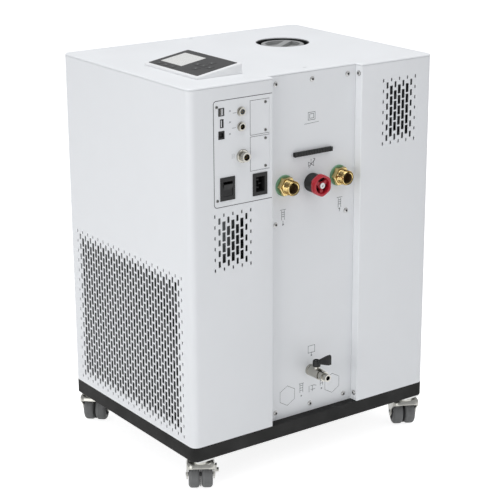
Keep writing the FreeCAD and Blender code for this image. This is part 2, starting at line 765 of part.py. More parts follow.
def make_mains_switch():
    """The frame of the mains switch, open towards its rocker."""
    bezel = side_block(SWITCH_CENTRE, SWITCH_SIZE, SIDE_X, SIDE_X + SWITCH_BEZEL)
    front = edges_where(bezel, lambda e: edge_at(e, x=SIDE_X + SWITCH_BEZEL))
    bezel = bezel.makeFillet(SWITCH_BEZEL * 0.6, front)
    body = side_block(
        SWITCH_CENTRE, inner_size(SWITCH_SIZE), SIDE_X - SWITCH_BODY_DEPTH, SIDE_X)
    hollow_size = (ROCKER_SIZE[0] + 2 * ROCKER_GAP, ROCKER_SIZE[1] + 2 * ROCKER_GAP)
    hollow = side_block(
        SWITCH_CENTRE, hollow_size, SIDE_X - SWITCH_BODY_DEPTH + 4, SIDE_X + SWITCH_BEZEL + 1)
    pivot = rod(
        ROCKER_PIVOT_RADIUS, rocker_pivot() - AXIS_Y * (hollow_size[0] / 2 + 1), AXIS_Y,
        hollow_size[0] + 2)
    return joined([joined([bezel, body]).cut(hollow), pivot])


def rocker_pivot():
    return V(SIDE_X - ROCKER_RADIUS / 2, SWITCH_CENTRE[0], below_top(SWITCH_CENTRE[1]))


def make_mains_rocker():
    """Rocker with a hollow face, turned on the frame's cross pin and pressed low."""
    pivot = rocker_pivot()
    half_w = ROCKER_SIZE[0] / 2
    half_h = ROCKER_SIZE[1] / 2 - 2.0
    face = SIDE_X + SWITCH_BEZEL
    points = [
        V(pivot.x - 5, pivot.y - half_w, pivot.z - 5),
        V(face - 1, pivot.y - half_w, pivot.z - half_h),
        V(face + 1.2, pivot.y - half_w, pivot.z - half_h),
        V(face - 1, pivot.y - half_w, pivot.z),
        V(face + 1.2, pivot.y - half_w, pivot.z + half_h),
        V(face - 1, pivot.y - half_w, pivot.z + half_h),
        V(pivot.x - 5, pivot.y - half_w, pivot.z + 5)]
    rocker = polygon_prism(points, AXIS_Y * ROCKER_SIZE[0])
    bore = rod(
        ROCKER_PIVOT_RADIUS + RUNNING_CLEARANCE, pivot - AXIS_Y * (half_w + 1), AXIS_Y,
        ROCKER_SIZE[0] + 2)
    rocker = rocker.cut(bore)
    rocker.rotate(pivot, AXIS_Y, ROCKER_TILT)
    return rocker


def make_power_inlet():
    """Appliance inlet: bezel, recessed shroud and three flat contacts."""
    bezel = side_block(INLET_CENTRE, INLET_SIZE, SIDE_X, SIDE_X + INLET_BEZEL)
    depth = INLET_CAVITY_DEPTH + INLET_BODY_WALL
    body = side_block(INLET_CENTRE, inner_size(INLET_SIZE), SIDE_X + INLET_BEZEL - depth, SIDE_X)
    cavity = side_block(
        INLET_CENTRE, INLET_CAVITY, SIDE_X + INLET_BEZEL - INLET_CAVITY_DEPTH,
        SIDE_X + INLET_BEZEL + 1)
    pieces = [joined([bezel, body]).cut(cavity)]
    x0 = SIDE_X + INLET_BEZEL - INLET_CAVITY_DEPTH - 1
    for step in (-1, 0, 1):
        centre = (INLET_CENTRE[0] + (2.0 if step == 0 else -2.0),
                  INLET_CENTRE[1] + step * INLET_PIN_SPACING)
        pieces.append(side_block(
            centre, (INLET_PIN[1], INLET_PIN[0]), x0, x0 + INLET_PIN_LENGTH + 1))
    return joined(pieces)


def socket_shell(centre, size, cavity):
    """A rectangular data socket, flush with the panel and open to the side."""
    proud = SIDE_X + 0.4
    shell = side_block(centre, size, proud - SOCKET_DEPTH - SOCKET_WALL_BACK, proud)
    hollow = side_block(centre, cavity, proud - SOCKET_DEPTH, proud + 1)
    return shell.cut(hollow)


def make_data_sockets():
    return Part.makeCompound([
        socket_shell(NETWORK_CENTRE, NETWORK_SIZE, NETWORK_CAVITY),
        socket_shell(HOST_CENTRE, HOST_SIZE, HOST_CAVITY),
        socket_shell(DEVICE_CENTRE, DEVICE_SIZE, DEVICE_CAVITY)])


def make_round_sockets():
    """Two screw-lock signal sockets: nut, nose and a blind bore."""
    sockets = []
    for drop in ROUND_SOCKET_DROPS:
        start = V(SIDE_X - ROUND_BODY_LENGTH, ROUND_SOCKET_Y, below_top(drop))
        nose = ROUND_BODY_LENGTH + ROUND_NUT_THICK + ROUND_NOSE_LENGTH
        sockets.append(turned([
            (0, 0), (0, ROUND_BODY_RADIUS), (ROUND_BODY_LENGTH, ROUND_BODY_RADIUS),
            (ROUND_BODY_LENGTH, ROUND_SOCKET_RADIUS),
            (ROUND_BODY_LENGTH + ROUND_NUT_THICK, ROUND_SOCKET_RADIUS - 0.5),
            (ROUND_BODY_LENGTH + ROUND_NUT_THICK, ROUND_NOSE_RADIUS),
            (nose, ROUND_NOSE_RADIUS), (nose, ROUND_BORE_RADIUS),
            (nose - 8, ROUND_BORE_RADIUS), (nose - 8, 0)], start))
    return Part.makeCompound(sockets)


def make_field_connector():
    """The larger nickel connector that stands out of the panel."""
    start = V(SIDE_X - FIELD_BODY_LENGTH, FIELD_CENTRE[0], below_top(FIELD_CENTRE[1]))
    flange = FIELD_BODY_LENGTH + FIELD_FLANGE_THICK
    nose = flange + FIELD_NOSE_LENGTH
    return turned([
        (0, 0), (0, FIELD_NOSE_RADIUS), (FIELD_BODY_LENGTH, FIELD_NOSE_RADIUS),
        (FIELD_BODY_LENGTH, FIELD_FLANGE_RADIUS), (flange - 1, FIELD_FLANGE_RADIUS),
        (flange, FIELD_FLANGE_RADIUS - 1), (flange, FIELD_NOSE_RADIUS),
        (nose, FIELD_NOSE_RADIUS), (nose, FIELD_BORE_RADIUS),
        (flange - 2, FIELD_BORE_RADIUS), (flange - 2, 0)], start)


def console_slope():
    return math.atan2(CONSOLE_HIGH - CONSOLE_LOW, CONSOLE_LENGTH)


def console_frame(across, along, above):
    """A point over the console's sloping face, from its low left corner."""
    slope = console_slope()
    y = CONSOLE_FRONT + along * math.cos(slope) - above * math.sin(slope)
    z = HEIGHT + CONSOLE_LOW + along * math.sin(slope) + above * math.cos(slope)
    return V(CONSOLE_LEFT + across, y, z)


def console_plate(across, along, width, length, low, high):
    """A plate parallel to the console's sloping face."""
    points = [
        console_frame(across, along, low), console_frame(across, along + length, low),
        console_frame(across, along + length, high), console_frame(across, along, high)]
    return polygon_prism(points, AXIS_X * width)


def overlay_size(gap=0.0):
    width = CONSOLE_WIDTH - 2 * OVERLAY_MARGIN_X + 2 * gap
    length = CONSOLE_LENGTH / math.cos(console_slope()) - 2 * OVERLAY_MARGIN_Y + 2 * gap
    return width, length


def make_console_housing():
    """Moulded wedge, hollow from below, with a shallow seat for the keypad film."""
    z = HEIGHT + SEAT
    points = [
        V(CONSOLE_LEFT, CONSOLE_FRONT, z),
        V(CONSOLE_LEFT, CONSOLE_FRONT + CONSOLE_LENGTH, z),
        V(CONSOLE_LEFT, CONSOLE_FRONT + CONSOLE_LENGTH, HEIGHT + CONSOLE_HIGH),
        V(CONSOLE_LEFT, CONSOLE_FRONT, HEIGHT + CONSOLE_LOW)]
    wedge = polygon_prism(points, AXIS_X * CONSOLE_WIDTH)
    rounded = edges_where(wedge, lambda e: not edge_at(e, z=z))
    wedge = wedge.makeFillet(CONSOLE_EDGE_RADIUS, rounded)
    wall = CONSOLE_WALL
    inside = [
        V(CONSOLE_LEFT + wall, CONSOLE_FRONT + CONSOLE_LENGTH - wall, z - 1),
        V(CONSOLE_LEFT + wall, CONSOLE_FRONT + CONSOLE_LENGTH - wall,
          HEIGHT + CONSOLE_HIGH - wall - OVERLAY_THICK),
        V(CONSOLE_LEFT + wall, CONSOLE_FRONT + 4 * wall, z - 1)]
    wedge = wedge.cut(polygon_prism(inside, AXIS_X * (CONSOLE_WIDTH - 2 * wall)))
    width, length = overlay_size(OVERLAY_GAP)
    seat = console_plate(
        OVERLAY_MARGIN_X - OVERLAY_GAP, OVERLAY_MARGIN_Y - OVERLAY_GAP, width, length,
        OVERLAY_PROUD - OVERLAY_THICK, OVERLAY_THICK)
    return wedge.cut(seat)


def screen_plate(gap, low, high):
    return console_plate(
        OVERLAY_MARGIN_X + SCREEN_LEFT - gap, OVERLAY_MARGIN_Y + SCREEN_FRONT - gap,
        SCREEN_WIDTH + 2 * gap, SCREEN_LENGTH + 2 * gap, low, high)


def make_keypad_overlay():
    """The dark film with the keys, let in round the display window."""
    width, length = overlay_size()
    low = OVERLAY_PROUD - OVERLAY_THICK
    film = console_plate(
        OVERLAY_MARGIN_X, OVERLAY_MARGIN_Y, width, length, low, OVERLAY_PROUD)
    pocket = screen_plate(OVERLAY_GAP, OVERLAY_PROUD - SCREEN_THICK, OVERLAY_PROUD + 1)
    return film.cut(pocket)


def make_display_window():
    return screen_plate(0.0, OVERLAY_PROUD - SCREEN_THICK, OVERLAY_PROUD - 0.1)


def make_filler_well():
    """Moulded funnel under the lid: flange, moat floor and the neck to the tank."""
    top = HEIGHT - SHEET - SEAT
    floor = top - WELL_DEPTH
    neck_end = tank_top() + SEAT
    start = V(FILLER_X, FILLER_Y, neck_end)
    outer = FILLER_HOLE_RADIUS
    inner = outer - WELL_WALL
    return turned([
        (0, NECK_RADIUS - NECK_WALL), (0, NECK_RADIUS),
        (floor - neck_end - WELL_WALL, NECK_RADIUS), (floor - neck_end - WELL_WALL, outer),
        (top - neck_end - WELL_FLANGE_THICK, outer),
        (top - neck_end - WELL_FLANGE_THICK, outer + WELL_FLANGE),
        (top - neck_end, outer + WELL_FLANGE), (top - neck_end, inner),
        (floor - neck_end, inner), (floor - neck_end, NECK_RADIUS),
        (floor - neck_end + NECK_COLLAR_HEIGHT, NECK_RADIUS),
        (floor - neck_end + NECK_COLLAR_HEIGHT, NECK_RADIUS - NECK_WALL)], start, AXIS_Z)


def cap_seat():
    """Height of the neck's rim, on which the cap rests."""
    return HEIGHT - SHEET - SEAT - WELL_DEPTH + NECK_COLLAR_HEIGHT


def make_filler_cap():
    """Push-in cap: two finger hollows beside a grip bar, a skirt and a spigot."""
    top = HEIGHT - CAP_DROP
    disc = rod(CAP_RADIUS, V(FILLER_X, FILLER_Y, top - CAP_TOP_THICK), AXIS_Z, CAP_TOP_THICK)
    rim = edges_where(disc, lambda e: edge_at(e, z=top) and e.Length > CAP_RADIUS)
    disc = disc.makeFillet(1.5, rim)
    hollow = rod(CAP_HOLLOW_RADIUS, V(FILLER_X, FILLER_Y, top - CAP_HOLLOW_DEPTH), AXIS_Z, CAP_HEIGHT)
    bar = block(
        FILLER_X - CAP_GRIP_WIDTH / 2, FILLER_X + CAP_GRIP_WIDTH / 2,
        FILLER_Y - CAP_RADIUS, FILLER_Y + CAP_RADIUS, top - CAP_HEIGHT, top + CAP_HEIGHT)
    bar.rotate(V(FILLER_X, FILLER_Y, 0), AXIS_Z, 35)
    disc = disc.cut(hollow.cut(bar))
    seat = cap_seat() + SEAT
    boss = rod(NECK_RADIUS, V(FILLER_X, FILLER_Y, seat), AXIS_Z, top - CAP_TOP_THICK - seat + 1)
    spigot_radius = NECK_RADIUS - NECK_WALL - CAP_SEAL_GAP
    spigot = rod(spigot_radius, V(FILLER_X, FILLER_Y, seat - CAP_SPIGOT_LENGTH), AXIS_Z,
                 CAP_SPIGOT_LENGTH + 1)
    core = rod(spigot_radius - CAP_SPIGOT_WALL,
               V(FILLER_X, FILLER_Y, seat - CAP_SPIGOT_LENGTH - 1), AXIS_Z, CAP_SPIGOT_LENGTH)
    return joined([disc, boss, spigot]).cut(core)


def make_seal_rings():
    rings = []
    for y in port_places():
        ring = rod(SEAL_RADIUS, V(PANEL_X, y, port_z()), AXIS_X, SEAL_THICK)
        face = edges_where(ring, lambda e: edge_at(e, x=PANEL_X + SEAL_THICK) and e.Length > 9)
        ring = ring.makeFillet(SEAL_THICK / 3, face)
        bore = rod(SHANK_RADIUS + HOLE_CLEARANCE, V(PANEL_X - 1, y, port_z()), AXIS_X, 9)
        rings.append(ring.cut(bore))
    return Part.makeCompound(rings)


def make_fitting(y):
    """Turned brass connection: shank, hexagon, shoulder, thread and a wide bore."""
    back = PANEL_BACK - SHANK_INSIDE
    hex_start = PANEL_X + SEAL_THICK
    mouth = hex_start + HEX_THICK + THREAD_LENGTH
    hexagon_bar = hexagon(V(hex_start, y, port_z()), HEX_FLATS, AXIS_X, HEX_THICK)
    corner = HEX_FLATS / math.sqrt(3)
    cone = turned([
        (0, 0), (0, corner + 1), (HEX_THICK - 3, corner + 1),
        (HEX_THICK, HEX_FLATS / 2 - 0.5), (HEX_THICK, 0)], V(hex_start, y, port_z()))
    nut = hexagon_bar.common(cone)
    relief = mouth - THREAD_LENGTH
    thread = turned([
        (0, 0), (0, SHANK_RADIUS), (hex_start - back, SHANK_RADIUS),
        (relief - back, SHANK_RADIUS), (relief - back, THREAD_RADIUS - NOZZLE_GROOVE),
        (relief - back + 2.5, THREAD_RADIUS - NOZZLE_GROOVE),
        (relief - back + 2.5, THREAD_RADIUS), (mouth - back - THREAD_CHAMFER, THREAD_RADIUS),
        (mouth - back, THREAD_RADIUS - THREAD_CHAMFER), (mouth - back, 0)],
        V(back, y, port_z()))
    bore = rod(NOZZLE_BORE_RADIUS, V(back - 1, y, port_z()), AXIS_X, mouth - back + 2)
    return joined([nut, thread]).cut(bore)


def make_bypass_bonnet():
    """Black bonnet of the bypass valve, its spigot through the panel and its stem."""
    z = bypass_z()
    stem_end = BONNET_LENGTH + HANDWHEEL_GAP + HANDWHEEL_THICK - HANDWHEEL_DISH_DEPTH
    tail = SHEET + 14
    return turned([
        (0, 0), (0, BONNET_RADIUS / 2), (tail, BONNET_RADIUS / 2), (tail, BONNET_RADIUS),
        (tail + BONNET_LENGTH - 3, BONNET_RADIUS), (tail + BONNET_LENGTH, BONNET_RADIUS - 1.5),
        (tail + BONNET_LENGTH, STEM_RADIUS), (tail + stem_end - 0.5, STEM_RADIUS),
        (tail + stem_end - 0.5, 0)], V(PANEL_X - tail, RECESS_MIDDLE, z))


def handwheel_window(middle, x0, depth):
    """A window between two spokes, bounded by two arcs."""
    inner = HANDWHEEL_HUB_RADIUS + WINDOW_WALL
    outer = HANDWHEEL_DISH_RADIUS - WINDOW_WALL
    half = WINDOW_ANGLE / 2
    z = bypass_z()

    def at(radius, degrees):
        angle = math.radians(degrees)
        return V(x0, RECESS_MIDDLE + radius * math.cos(angle), z + radius * math.sin(angle))

    edges = [
        Part.Arc(at(inner, middle - half), at(inner, middle), at(inner, middle + half)).toShape(),
        Part.LineSegment(at(inner, middle + half), at(outer, middle + half)).toShape(),
        Part.Arc(at(outer, middle + half), at(outer, middle), at(outer, middle - half)).toShape(),
        Part.LineSegment(at(outer, middle - half), at(inner, middle - half)).toShape()]
    return Part.Face(Part.Wire(edges)).extrude(AXIS_X * depth)


def make_bypass_handwheel():
    """Moulded six-lobed handwheel with a dished face and three windows."""
    x0 = PANEL_X + BONNET_LENGTH + HANDWHEEL_GAP
    centre = V(x0, RECESS_MIDDLE, bypass_z())
    wheel = hexagon(centre, HANDWHEEL_ACROSS, AXIS_X, HANDWHEEL_THICK)
    lobes = edges_where(wheel, lambda e: abs(e.Length - HANDWHEEL_THICK) < 0.01)
    wheel = wheel.makeFillet(HANDWHEEL_LOBE_RADIUS, lobes)
    rims = edges_where(wheel, lambda e: edge_at(e, x=x0 + HANDWHEEL_THICK))
    wheel = wheel.makeFillet(1.5, rims)
    dish = rod(
        HANDWHEEL_DISH_RADIUS, centre + AXIS_X * (HANDWHEEL_THICK - HANDWHEEL_DISH_DEPTH),
        AXIS_X, HANDWHEEL_DISH_DEPTH + 1)
    cuts = [dish, rod(STEM_RADIUS + RUNNING_CLEARANCE, centre - AXIS_X, AXIS_X,
                     HANDWHEEL_THICK + 2)]
    for index in range(HANDWHEEL_SPOKES):
        middle = 90 + index * 360 / HANDWHEEL_SPOKES
        cuts.append(handwheel_window(middle, x0 - 1, HANDWHEEL_THICK + 2))
    return wheel.cut(cuts)


def make_handwheel_screw():
    """The screw in the middle of the handwheel, seated on its hub."""
    x0 = (PANEL_X + BONNET_LENGTH + HANDWHEEL_GAP + HANDWHEEL_THICK - HANDWHEEL_DISH_DEPTH)
    start = V(x0, RECESS_MIDDLE, bypass_z())
    head = rod(CAP_SCREW_RADIUS + 1.2, start, AXIS_X, CAP_SCREW_HEIGHT)
    socket = hexagon(start + AXIS_X * 1.0, 4.0, AXIS_X, CAP_SCREW_HEIGHT)
    return head.cut(socket)


def make_drain_valve():
    """Nickel ball valve: tail and nut behind the panel, body, collar and nozzle."""
    z = above_base(DRAIN_HEIGHT)
    tail = DRAIN_TAIL_LENGTH + SHEET
    lengths = [
        (tail, DRAIN_NECK_RADIUS), (DRAIN_FLANGE_THICK, DRAIN_FLANGE_RADIUS),
        (DRAIN_BODY_LENGTH - DRAIN_FLANGE_THICK, DRAIN_BODY_RADIUS),
        (DRAIN_NECK_LENGTH, DRAIN_NECK_RADIUS), (DRAIN_COLLAR_LENGTH, DRAIN_COLLAR_RADIUS),
        (DRAIN_NOZZLE_LENGTH, DRAIN_NOZZLE_RADIUS)]
    along = 0.0
    profile = [(0.0, DRAIN_BORE_RADIUS)]
    for length, radius in lengths:
        profile.append((along, radius))
        along += length
        profile.append((along, radius))
    profile.append((along, DRAIN_BORE_RADIUS))
    start = V(PANEL_X - tail, RECESS_MIDDLE, z)
    body = turned(profile, start)
    stem = V(LEVER_X, RECESS_MIDDLE, z)
    gland = rod(GLAND_RADIUS, stem + AXIS_Z * (DRAIN_BORE_RADIUS + 1), AXIS_Z,
                GLAND_HEIGHT - DRAIN_BORE_RADIUS - 1)
    spindle = rod(VALVE_STEM_RADIUS, stem + AXIS_Z * (GLAND_HEIGHT - 1), AXIS_Z,
                  LEVER_HUB_HEIGHT + 2.5)
    nut = hexagon(
        V(PANEL_BACK - DRAIN_NUT_THICK - SEAT, RECESS_MIDDLE, z), DRAIN_NUT_FLATS, AXIS_X,
        DRAIN_NUT_THICK)
    bore = rod(DRAIN_BORE_RADIUS, start - AXIS_X, AXIS_X, along + 2)
    return joined([body, gland, spindle, nut]).cut(bore)


def lever_base():
    return V(LEVER_X, RECESS_MIDDLE, above_base(DRAIN_HEIGHT) + GLAND_HEIGHT + LEVER_GAP)


def make_drain_lever():
    """Wing lever: a hub on the spindle and one tall blade along the valve."""
    base = lever_base()
    drop = above_base(DRAIN_HEIGHT)
    hub = rod(LEVER_HUB_RADIUS, base, AXIS_Z, LEVER_HUB_HEIGHT)
    y0 = RECESS_MIDDLE - LEVER_THICK / 2
    points = [
        V(base.x + 2, y0, base.z), V(base.x + LEVER_HUB_RADIUS + 3, y0, base.z),
        V(base.x + LEVER_REACH * 0.6, y0, drop + LEVER_TIP_LOW - 1),
        V(base.x + LEVER_REACH, y0, drop + LEVER_TIP_LOW),
        V(base.x + LEVER_REACH, y0, drop + LEVER_TIP_HIGH - 3),
        V(base.x + LEVER_REACH - 4, y0, drop + LEVER_TIP_HIGH),
        V(base.x + LEVER_HUB_RADIUS, y0, base.z + LEVER_HUB_HEIGHT + 3),
        V(base.x + 2, y0, base.z + LEVER_HUB_HEIGHT)]
    blade = polygon_prism(points, AXIS_Y * LEVER_THICK)
    head_room = rod(LEVER_NUT_RADIUS + 0.6, base + AXIS_Z * LEVER_HUB_HEIGHT, AXIS_Z,
                    LEVER_TIP_HIGH)
    bore = rod(VALVE_STEM_RADIUS + RUNNING_CLEARANCE, base - AXIS_Z, AXIS_Z, LEVER_TIP_HIGH)
    return joined([hub, blade]).cut([head_room, bore])


def make_lever_nut():
    base = lever_base() + AXIS_Z * (LEVER_HUB_HEIGHT + 0.1)
    nut = rod(LEVER_NUT_RADIUS, base, AXIS_Z, LEVER_NUT_HEIGHT)
    return nut.cut(rod(VALVE_STEM_RADIUS + RUNNING_CLEARANCE, base - AXIS_Z, AXIS_Z,
                       LEVER_NUT_HEIGHT / 2 + 1.6))


def make_panel_grip():
    """Black ribbed bar across the service panel, on a narrow foot."""
    z = grip_z()
    y0 = RECESS_MIDDLE - GRIP_LENGTH / 2
    foot = block(PANEL_X, PANEL_X + GRIP_FOOT, y0 + 2, y0 + GRIP_LENGTH - 2,
                 z - GRIP_SIZE / 2 + 1.5, z + GRIP_SIZE / 2 - 1.5)
    bar = block(PANEL_X + GRIP_FOOT, PANEL_X + GRIP_FOOT + GRIP_DEPTH, y0, y0 + GRIP_LENGTH,
                z - GRIP_SIZE / 2, z + GRIP_SIZE / 2)
    long_edges = edges_where(bar, lambda e: edge_at(e, x=PANEL_X + GRIP_FOOT + GRIP_DEPTH))
    bar = bar.makeFillet(1.2, long_edges)
    pitch = GRIP_LENGTH / GRIP_RIBS
    face = PANEL_X + GRIP_FOOT + GRIP_DEPTH
    grooves = []
    for index in range(1, GRIP_RIBS):
        y = y0 + index * pitch
        grooves.append(block(face - GRIP_RIB_DEPTH, face + 1, y - 0.8, y + 0.8, z - 5, z + 5))
    return joined([foot, bar]).cut(grooves)


def make_panel_screws():
    """Every screw that shows: service panel, recess step, socket panel and blanks."""
    screws = [screw(V(PANEL_X, y, z), AXIS_X) for y, z in screw_places()]
    screws += [screw(V(x, RECESS_REAR, z), AXIS_Y * -1) for x, z in step_screw_places()]
    for y, z in io_screw_places() + module_screw_places():
        screws.append(screw(V(SIDE_X, y, z), AXIS_X, SMALL_SCREW_SCALE))
    return Part.makeCompound(screws)


def make_inner_frame():
    """Welded frame on the tray: four angle posts, a ring of rails and the shelf."""
    pieces = []
    for side_x in (-1, 1):
        for side_y in (-1, 1):
            x = side_x * FRAME_X
            y = side_y * FRAME_Y
            xs = sorted((x, x - side_x * ANGLE_SIZE))
            ys = sorted((y, y - side_y * ANGLE_SIZE))
            thin_x = sorted((x, x - side_x * ANGLE_THICK))
            thin_y = sorted((y, y - side_y * ANGLE_THICK))
            pieces.append(block(xs[0], xs[1], thin_y[0], thin_y[1], TRAY_FLOOR, FRAME_TOP))
            pieces.append(block(thin_x[0], thin_x[1], ys[0], ys[1], TRAY_FLOOR, FRAME_TOP))
    ring = block(-FRAME_X, FRAME_X, -FRAME_Y, FRAME_Y, FRAME_TOP - RAIL_SIZE, FRAME_TOP)
    opening = block(
        -FRAME_X + RAIL_SIZE, FRAME_X - RAIL_SIZE, -FRAME_Y + RAIL_SIZE, FRAME_Y - RAIL_SIZE,
        FRAME_TOP - 2 * RAIL_SIZE, FRAME_TOP + 1)
    pieces.append(ring.cut(opening))
    shelf = block(-FRAME_X, FRAME_X, -FRAME_Y, FRAME_Y, shelf_z(), shelf_z() + SHELF_THICK)
    pipe = V(PUMP_X, port_places()[0], shelf_z() - 1)
    hole = rod(pipe_radius() + 4, pipe, AXIS_Z, SHELF_THICK + 2)
    pieces.append(shelf.cut(hole))
    return joined(pieces)


def shelf_z():
    return above_base(SHELF_HEIGHT)


def shelf_top():
    return shelf_z() + SHELF_THICK


def tank_top():
    return shelf_top() + SEAT + TANK_SIZE[2]


def pipe_radius():
    return PIPE_BORE_RADIUS + PIPE_WALL


def make_condenser():
    """Finned heat exchanger block on the tray's flange, close behind the front grille."""
    width, depth, height = CONDENSER_SIZE
    y0 = FRONT_Y + SHEET + CONDENSER_SETBACK
    z0 = BODY_BOTTOM + SEAT
    return block(-width / 2, width / 2, y0, y0 + depth, z0, z0 + height)


def condenser_rear():
    return FRONT_Y + SHEET + CONDENSER_SETBACK + CONDENSER_SIZE[1]


def fan_centre():
    return above_base(CONDENSER_SIZE[2] / 2) + SEAT


def shroud_plane():
    return condenser_rear() + SEAT


def fan_plane():
    """The rotor's front face, a little behind the shroud plate."""
    return shroud_plane() + SHROUD_THICK + FAN_GAP


def motor_plane():
    return fan_plane() + FAN_HUB_LENGTH + FAN_GAP


def make_fan_shroud():
    """Plate with a round mouth and a collar, and the struts to the motor."""
    half = FRAME_X - ANGLE_SIZE - SHROUD_SIDE_GAP
    y0 = shroud_plane()
    z0 = BODY_BOTTOM + SEAT
    z = fan_centre()
    mouth = FAN_RADIUS + FAN_TIP_GAP
    plate = block(-half, half, y0, y0 + SHROUD_THICK, z0, z0 + CONDENSER_SIZE[2])
    plate = plate.cut(rod(mouth, V(0, y0 - 1, z), AXIS_Y, SHROUD_THICK + 2))
    collar_length = motor_plane() + STRUT_THICK - y0
    collar = rod(mouth + SHROUD_THICK, V(0, y0, z), AXIS_Y, collar_length)
    collar = collar.cut(rod(mouth, V(0, y0 - 1, z), AXIS_Y, collar_length + 2))
    struts = []
    for turn in (0, 90):
        y1 = motor_plane()
        bar = block(-mouth - 1, mouth + 1, y1, y1 + STRUT_THICK,
                    z - STRUT_WIDTH / 2, z + STRUT_WIDTH / 2)
        bar.rotate(V(0, y1, z), AXIS_Y, 45 + turn)
        struts.append(bar)
    ring = rod(MOTOR_RADIUS + 3, V(0, motor_plane(), z), AXIS_Y, STRUT_THICK)
    bore = rod(MOTOR_SHAFT_RADIUS * 2, V(0, motor_plane() - 1, z), AXIS_Y, STRUT_THICK + 2)
    return joined([plate, collar] + struts + [ring]).cut(bore)


def make_fan_motor():
    z = fan_centre()
    y0 = motor_plane() + STRUT_THICK + SEAT
    motor = rod(MOTOR_RADIUS, V(0, y0, z), AXIS_Y, MOTOR_LENGTH)
    bore = rod(MOTOR_SHAFT_RADIUS + RUNNING_CLEARANCE, V(0, y0 - 1, z), AXIS_Y,
               MOTOR_SHAFT_DEPTH + 2)
    return motor.cut(bore)


def make_fan_rotor():
    """Axial rotor: hub, pitched blades and the shaft that runs in the motor."""
    z = fan_centre()
    y0 = fan_plane()
    centre = V(0, y0 + FAN_HUB_LENGTH / 2, z)
    pieces = [rod(FAN_HUB_RADIUS, V(0, y0, z), AXIS_Y, FAN_HUB_LENGTH)]
    y_motor = motor_plane() + STRUT_THICK + SEAT
    shaft_length = y_motor + MOTOR_SHAFT_DEPTH - y0 - FAN_HUB_LENGTH
    pieces.append(rod(MOTOR_SHAFT_RADIUS, V(0, y0 + FAN_HUB_LENGTH - 1, z), AXIS_Y,
                      shaft_length))
    for index in range(FAN_BLADES):
        root = FAN_HUB_RADIUS - 3
        half = FAN_BLADE_WIDTH / 2
        points = [
            V(-half * 0.7, -FAN_BLADE_THICK / 2, root), V(half * 0.7, -FAN_BLADE_THICK / 2, root),
            V(half, -FAN_BLADE_THICK / 2, FAN_RADIUS * 0.97),
            V(-half, -FAN_BLADE_THICK / 2, FAN_RADIUS * 0.97)]
        blade = polygon_prism(points, AXIS_Y * FAN_BLADE_THICK)
        blade.rotate(V(0, 0, 0), AXIS_Z, FAN_BLADE_PITCH)
        blade.rotate(V(0, 0, 0), AXIS_Y, index * 360.0 / FAN_BLADES)
        blade.translate(centre)
        pieces.append(blade)
    return joined(pieces)


def make_compressor():
    """Hermetic compressor: domed can on a foot plate."""
    radius = COMPRESSOR_RADIUS
    z0 = TRAY_FLOOR + SEAT
    foot = block(COMPRESSOR_X - radius, COMPRESSOR_X + radius,
                 COMPRESSOR_Y - radius, COMPRESSOR_Y + radius, z0, z0 + COMPRESSOR_FOOT)
    can = rod(radius, V(COMPRESSOR_X, COMPRESSOR_Y, z0 + COMPRESSOR_FOOT), AXIS_Z,
              COMPRESSOR_HEIGHT - COMPRESSOR_FOOT)
    dome = edges_where(can, lambda e: edge_at(e, z=z0 + COMPRESSOR_HEIGHT) and e.Length > radius)
    return joined([foot, can.makeFillet(radius * 0.4, dome)])


def make_reservoir_tank():
    """Welded bath under the filling neck, with its spigot hole."""
    width, depth, height = TANK_SIZE
    z0 = shelf_top() + SEAT
    tank = rounded_block(width, depth, TANK_RADIUS, z0, z0 + height, (FILLER_X, FILLER_Y))
    wall = 2.0
    inside = rounded_block(
        width - 2 * wall, depth - 2 * wall, TANK_RADIUS - wall, z0 + wall, z0 + height - wall,
        (FILLER_X, FILLER_Y))
    mouth = rod(NECK_RADIUS - NECK_WALL, V(FILLER_X, FILLER_Y, z0 + height - 5), AXIS_Z, 10)
    return tank.cut([inside, mouth])


def make_circulation_pump():
    """Pump and motor upright on the tray, under the return port's pipe."""
    y = port_places()[0]
    z0 = TRAY_FLOOR + SEAT
    foot = block(PUMP_X - PUMP_RADIUS, PUMP_X + PUMP_RADIUS, y - PUMP_RADIUS, y + PUMP_RADIUS,
                 z0, z0 + PUMP_FOOT)
    body = rod(PUMP_RADIUS, V(PUMP_X, y, z0), AXIS_Z, PUMP_FOOT + PUMP_LENGTH)
    outlet = rod(pipe_radius() + 3, V(PUMP_X, y, z0), AXIS_Z, PUMP_FOOT + PUMP_LENGTH + 12)
    return joined([foot, body, outlet])


def pump_top():
    return TRAY_FLOOR + SEAT + PUMP_FOOT + PUMP_LENGTH + 12


def make_heat_exchanger():
    """Brazed plate exchanger that stands on the tray."""
    width, depth, height = EXCHANGER_SIZE
    z0 = TRAY_FLOOR + SEAT
    return block(EXCHANGER_X - width / 2, EXCHANGER_X + width / 2,
                 EXCHANGER_Y - depth / 2, EXCHANGER_Y + depth / 2, z0, z0 + height)


def make_control_box():
    """Closed electronics box on the shelf, between the front posts and the pump's pipe."""
    x1 = SIDE_X - SWITCH_BODY_DEPTH - CONTROL_BOX_GAP
    y0 = -FRAME_Y + ANGLE_SIZE
    y1 = port_places()[0] - pipe_radius() - CONTROL_BOX_PIPE_GAP
    z0 = shelf_top() + SEAT
    z1 = FRAME_TOP - RAIL_SIZE - CONTROL_BOX_HEADROOM
    return block(x1 - CONTROL_BOX_WIDTH, x1, y0, y1, z0, z1)


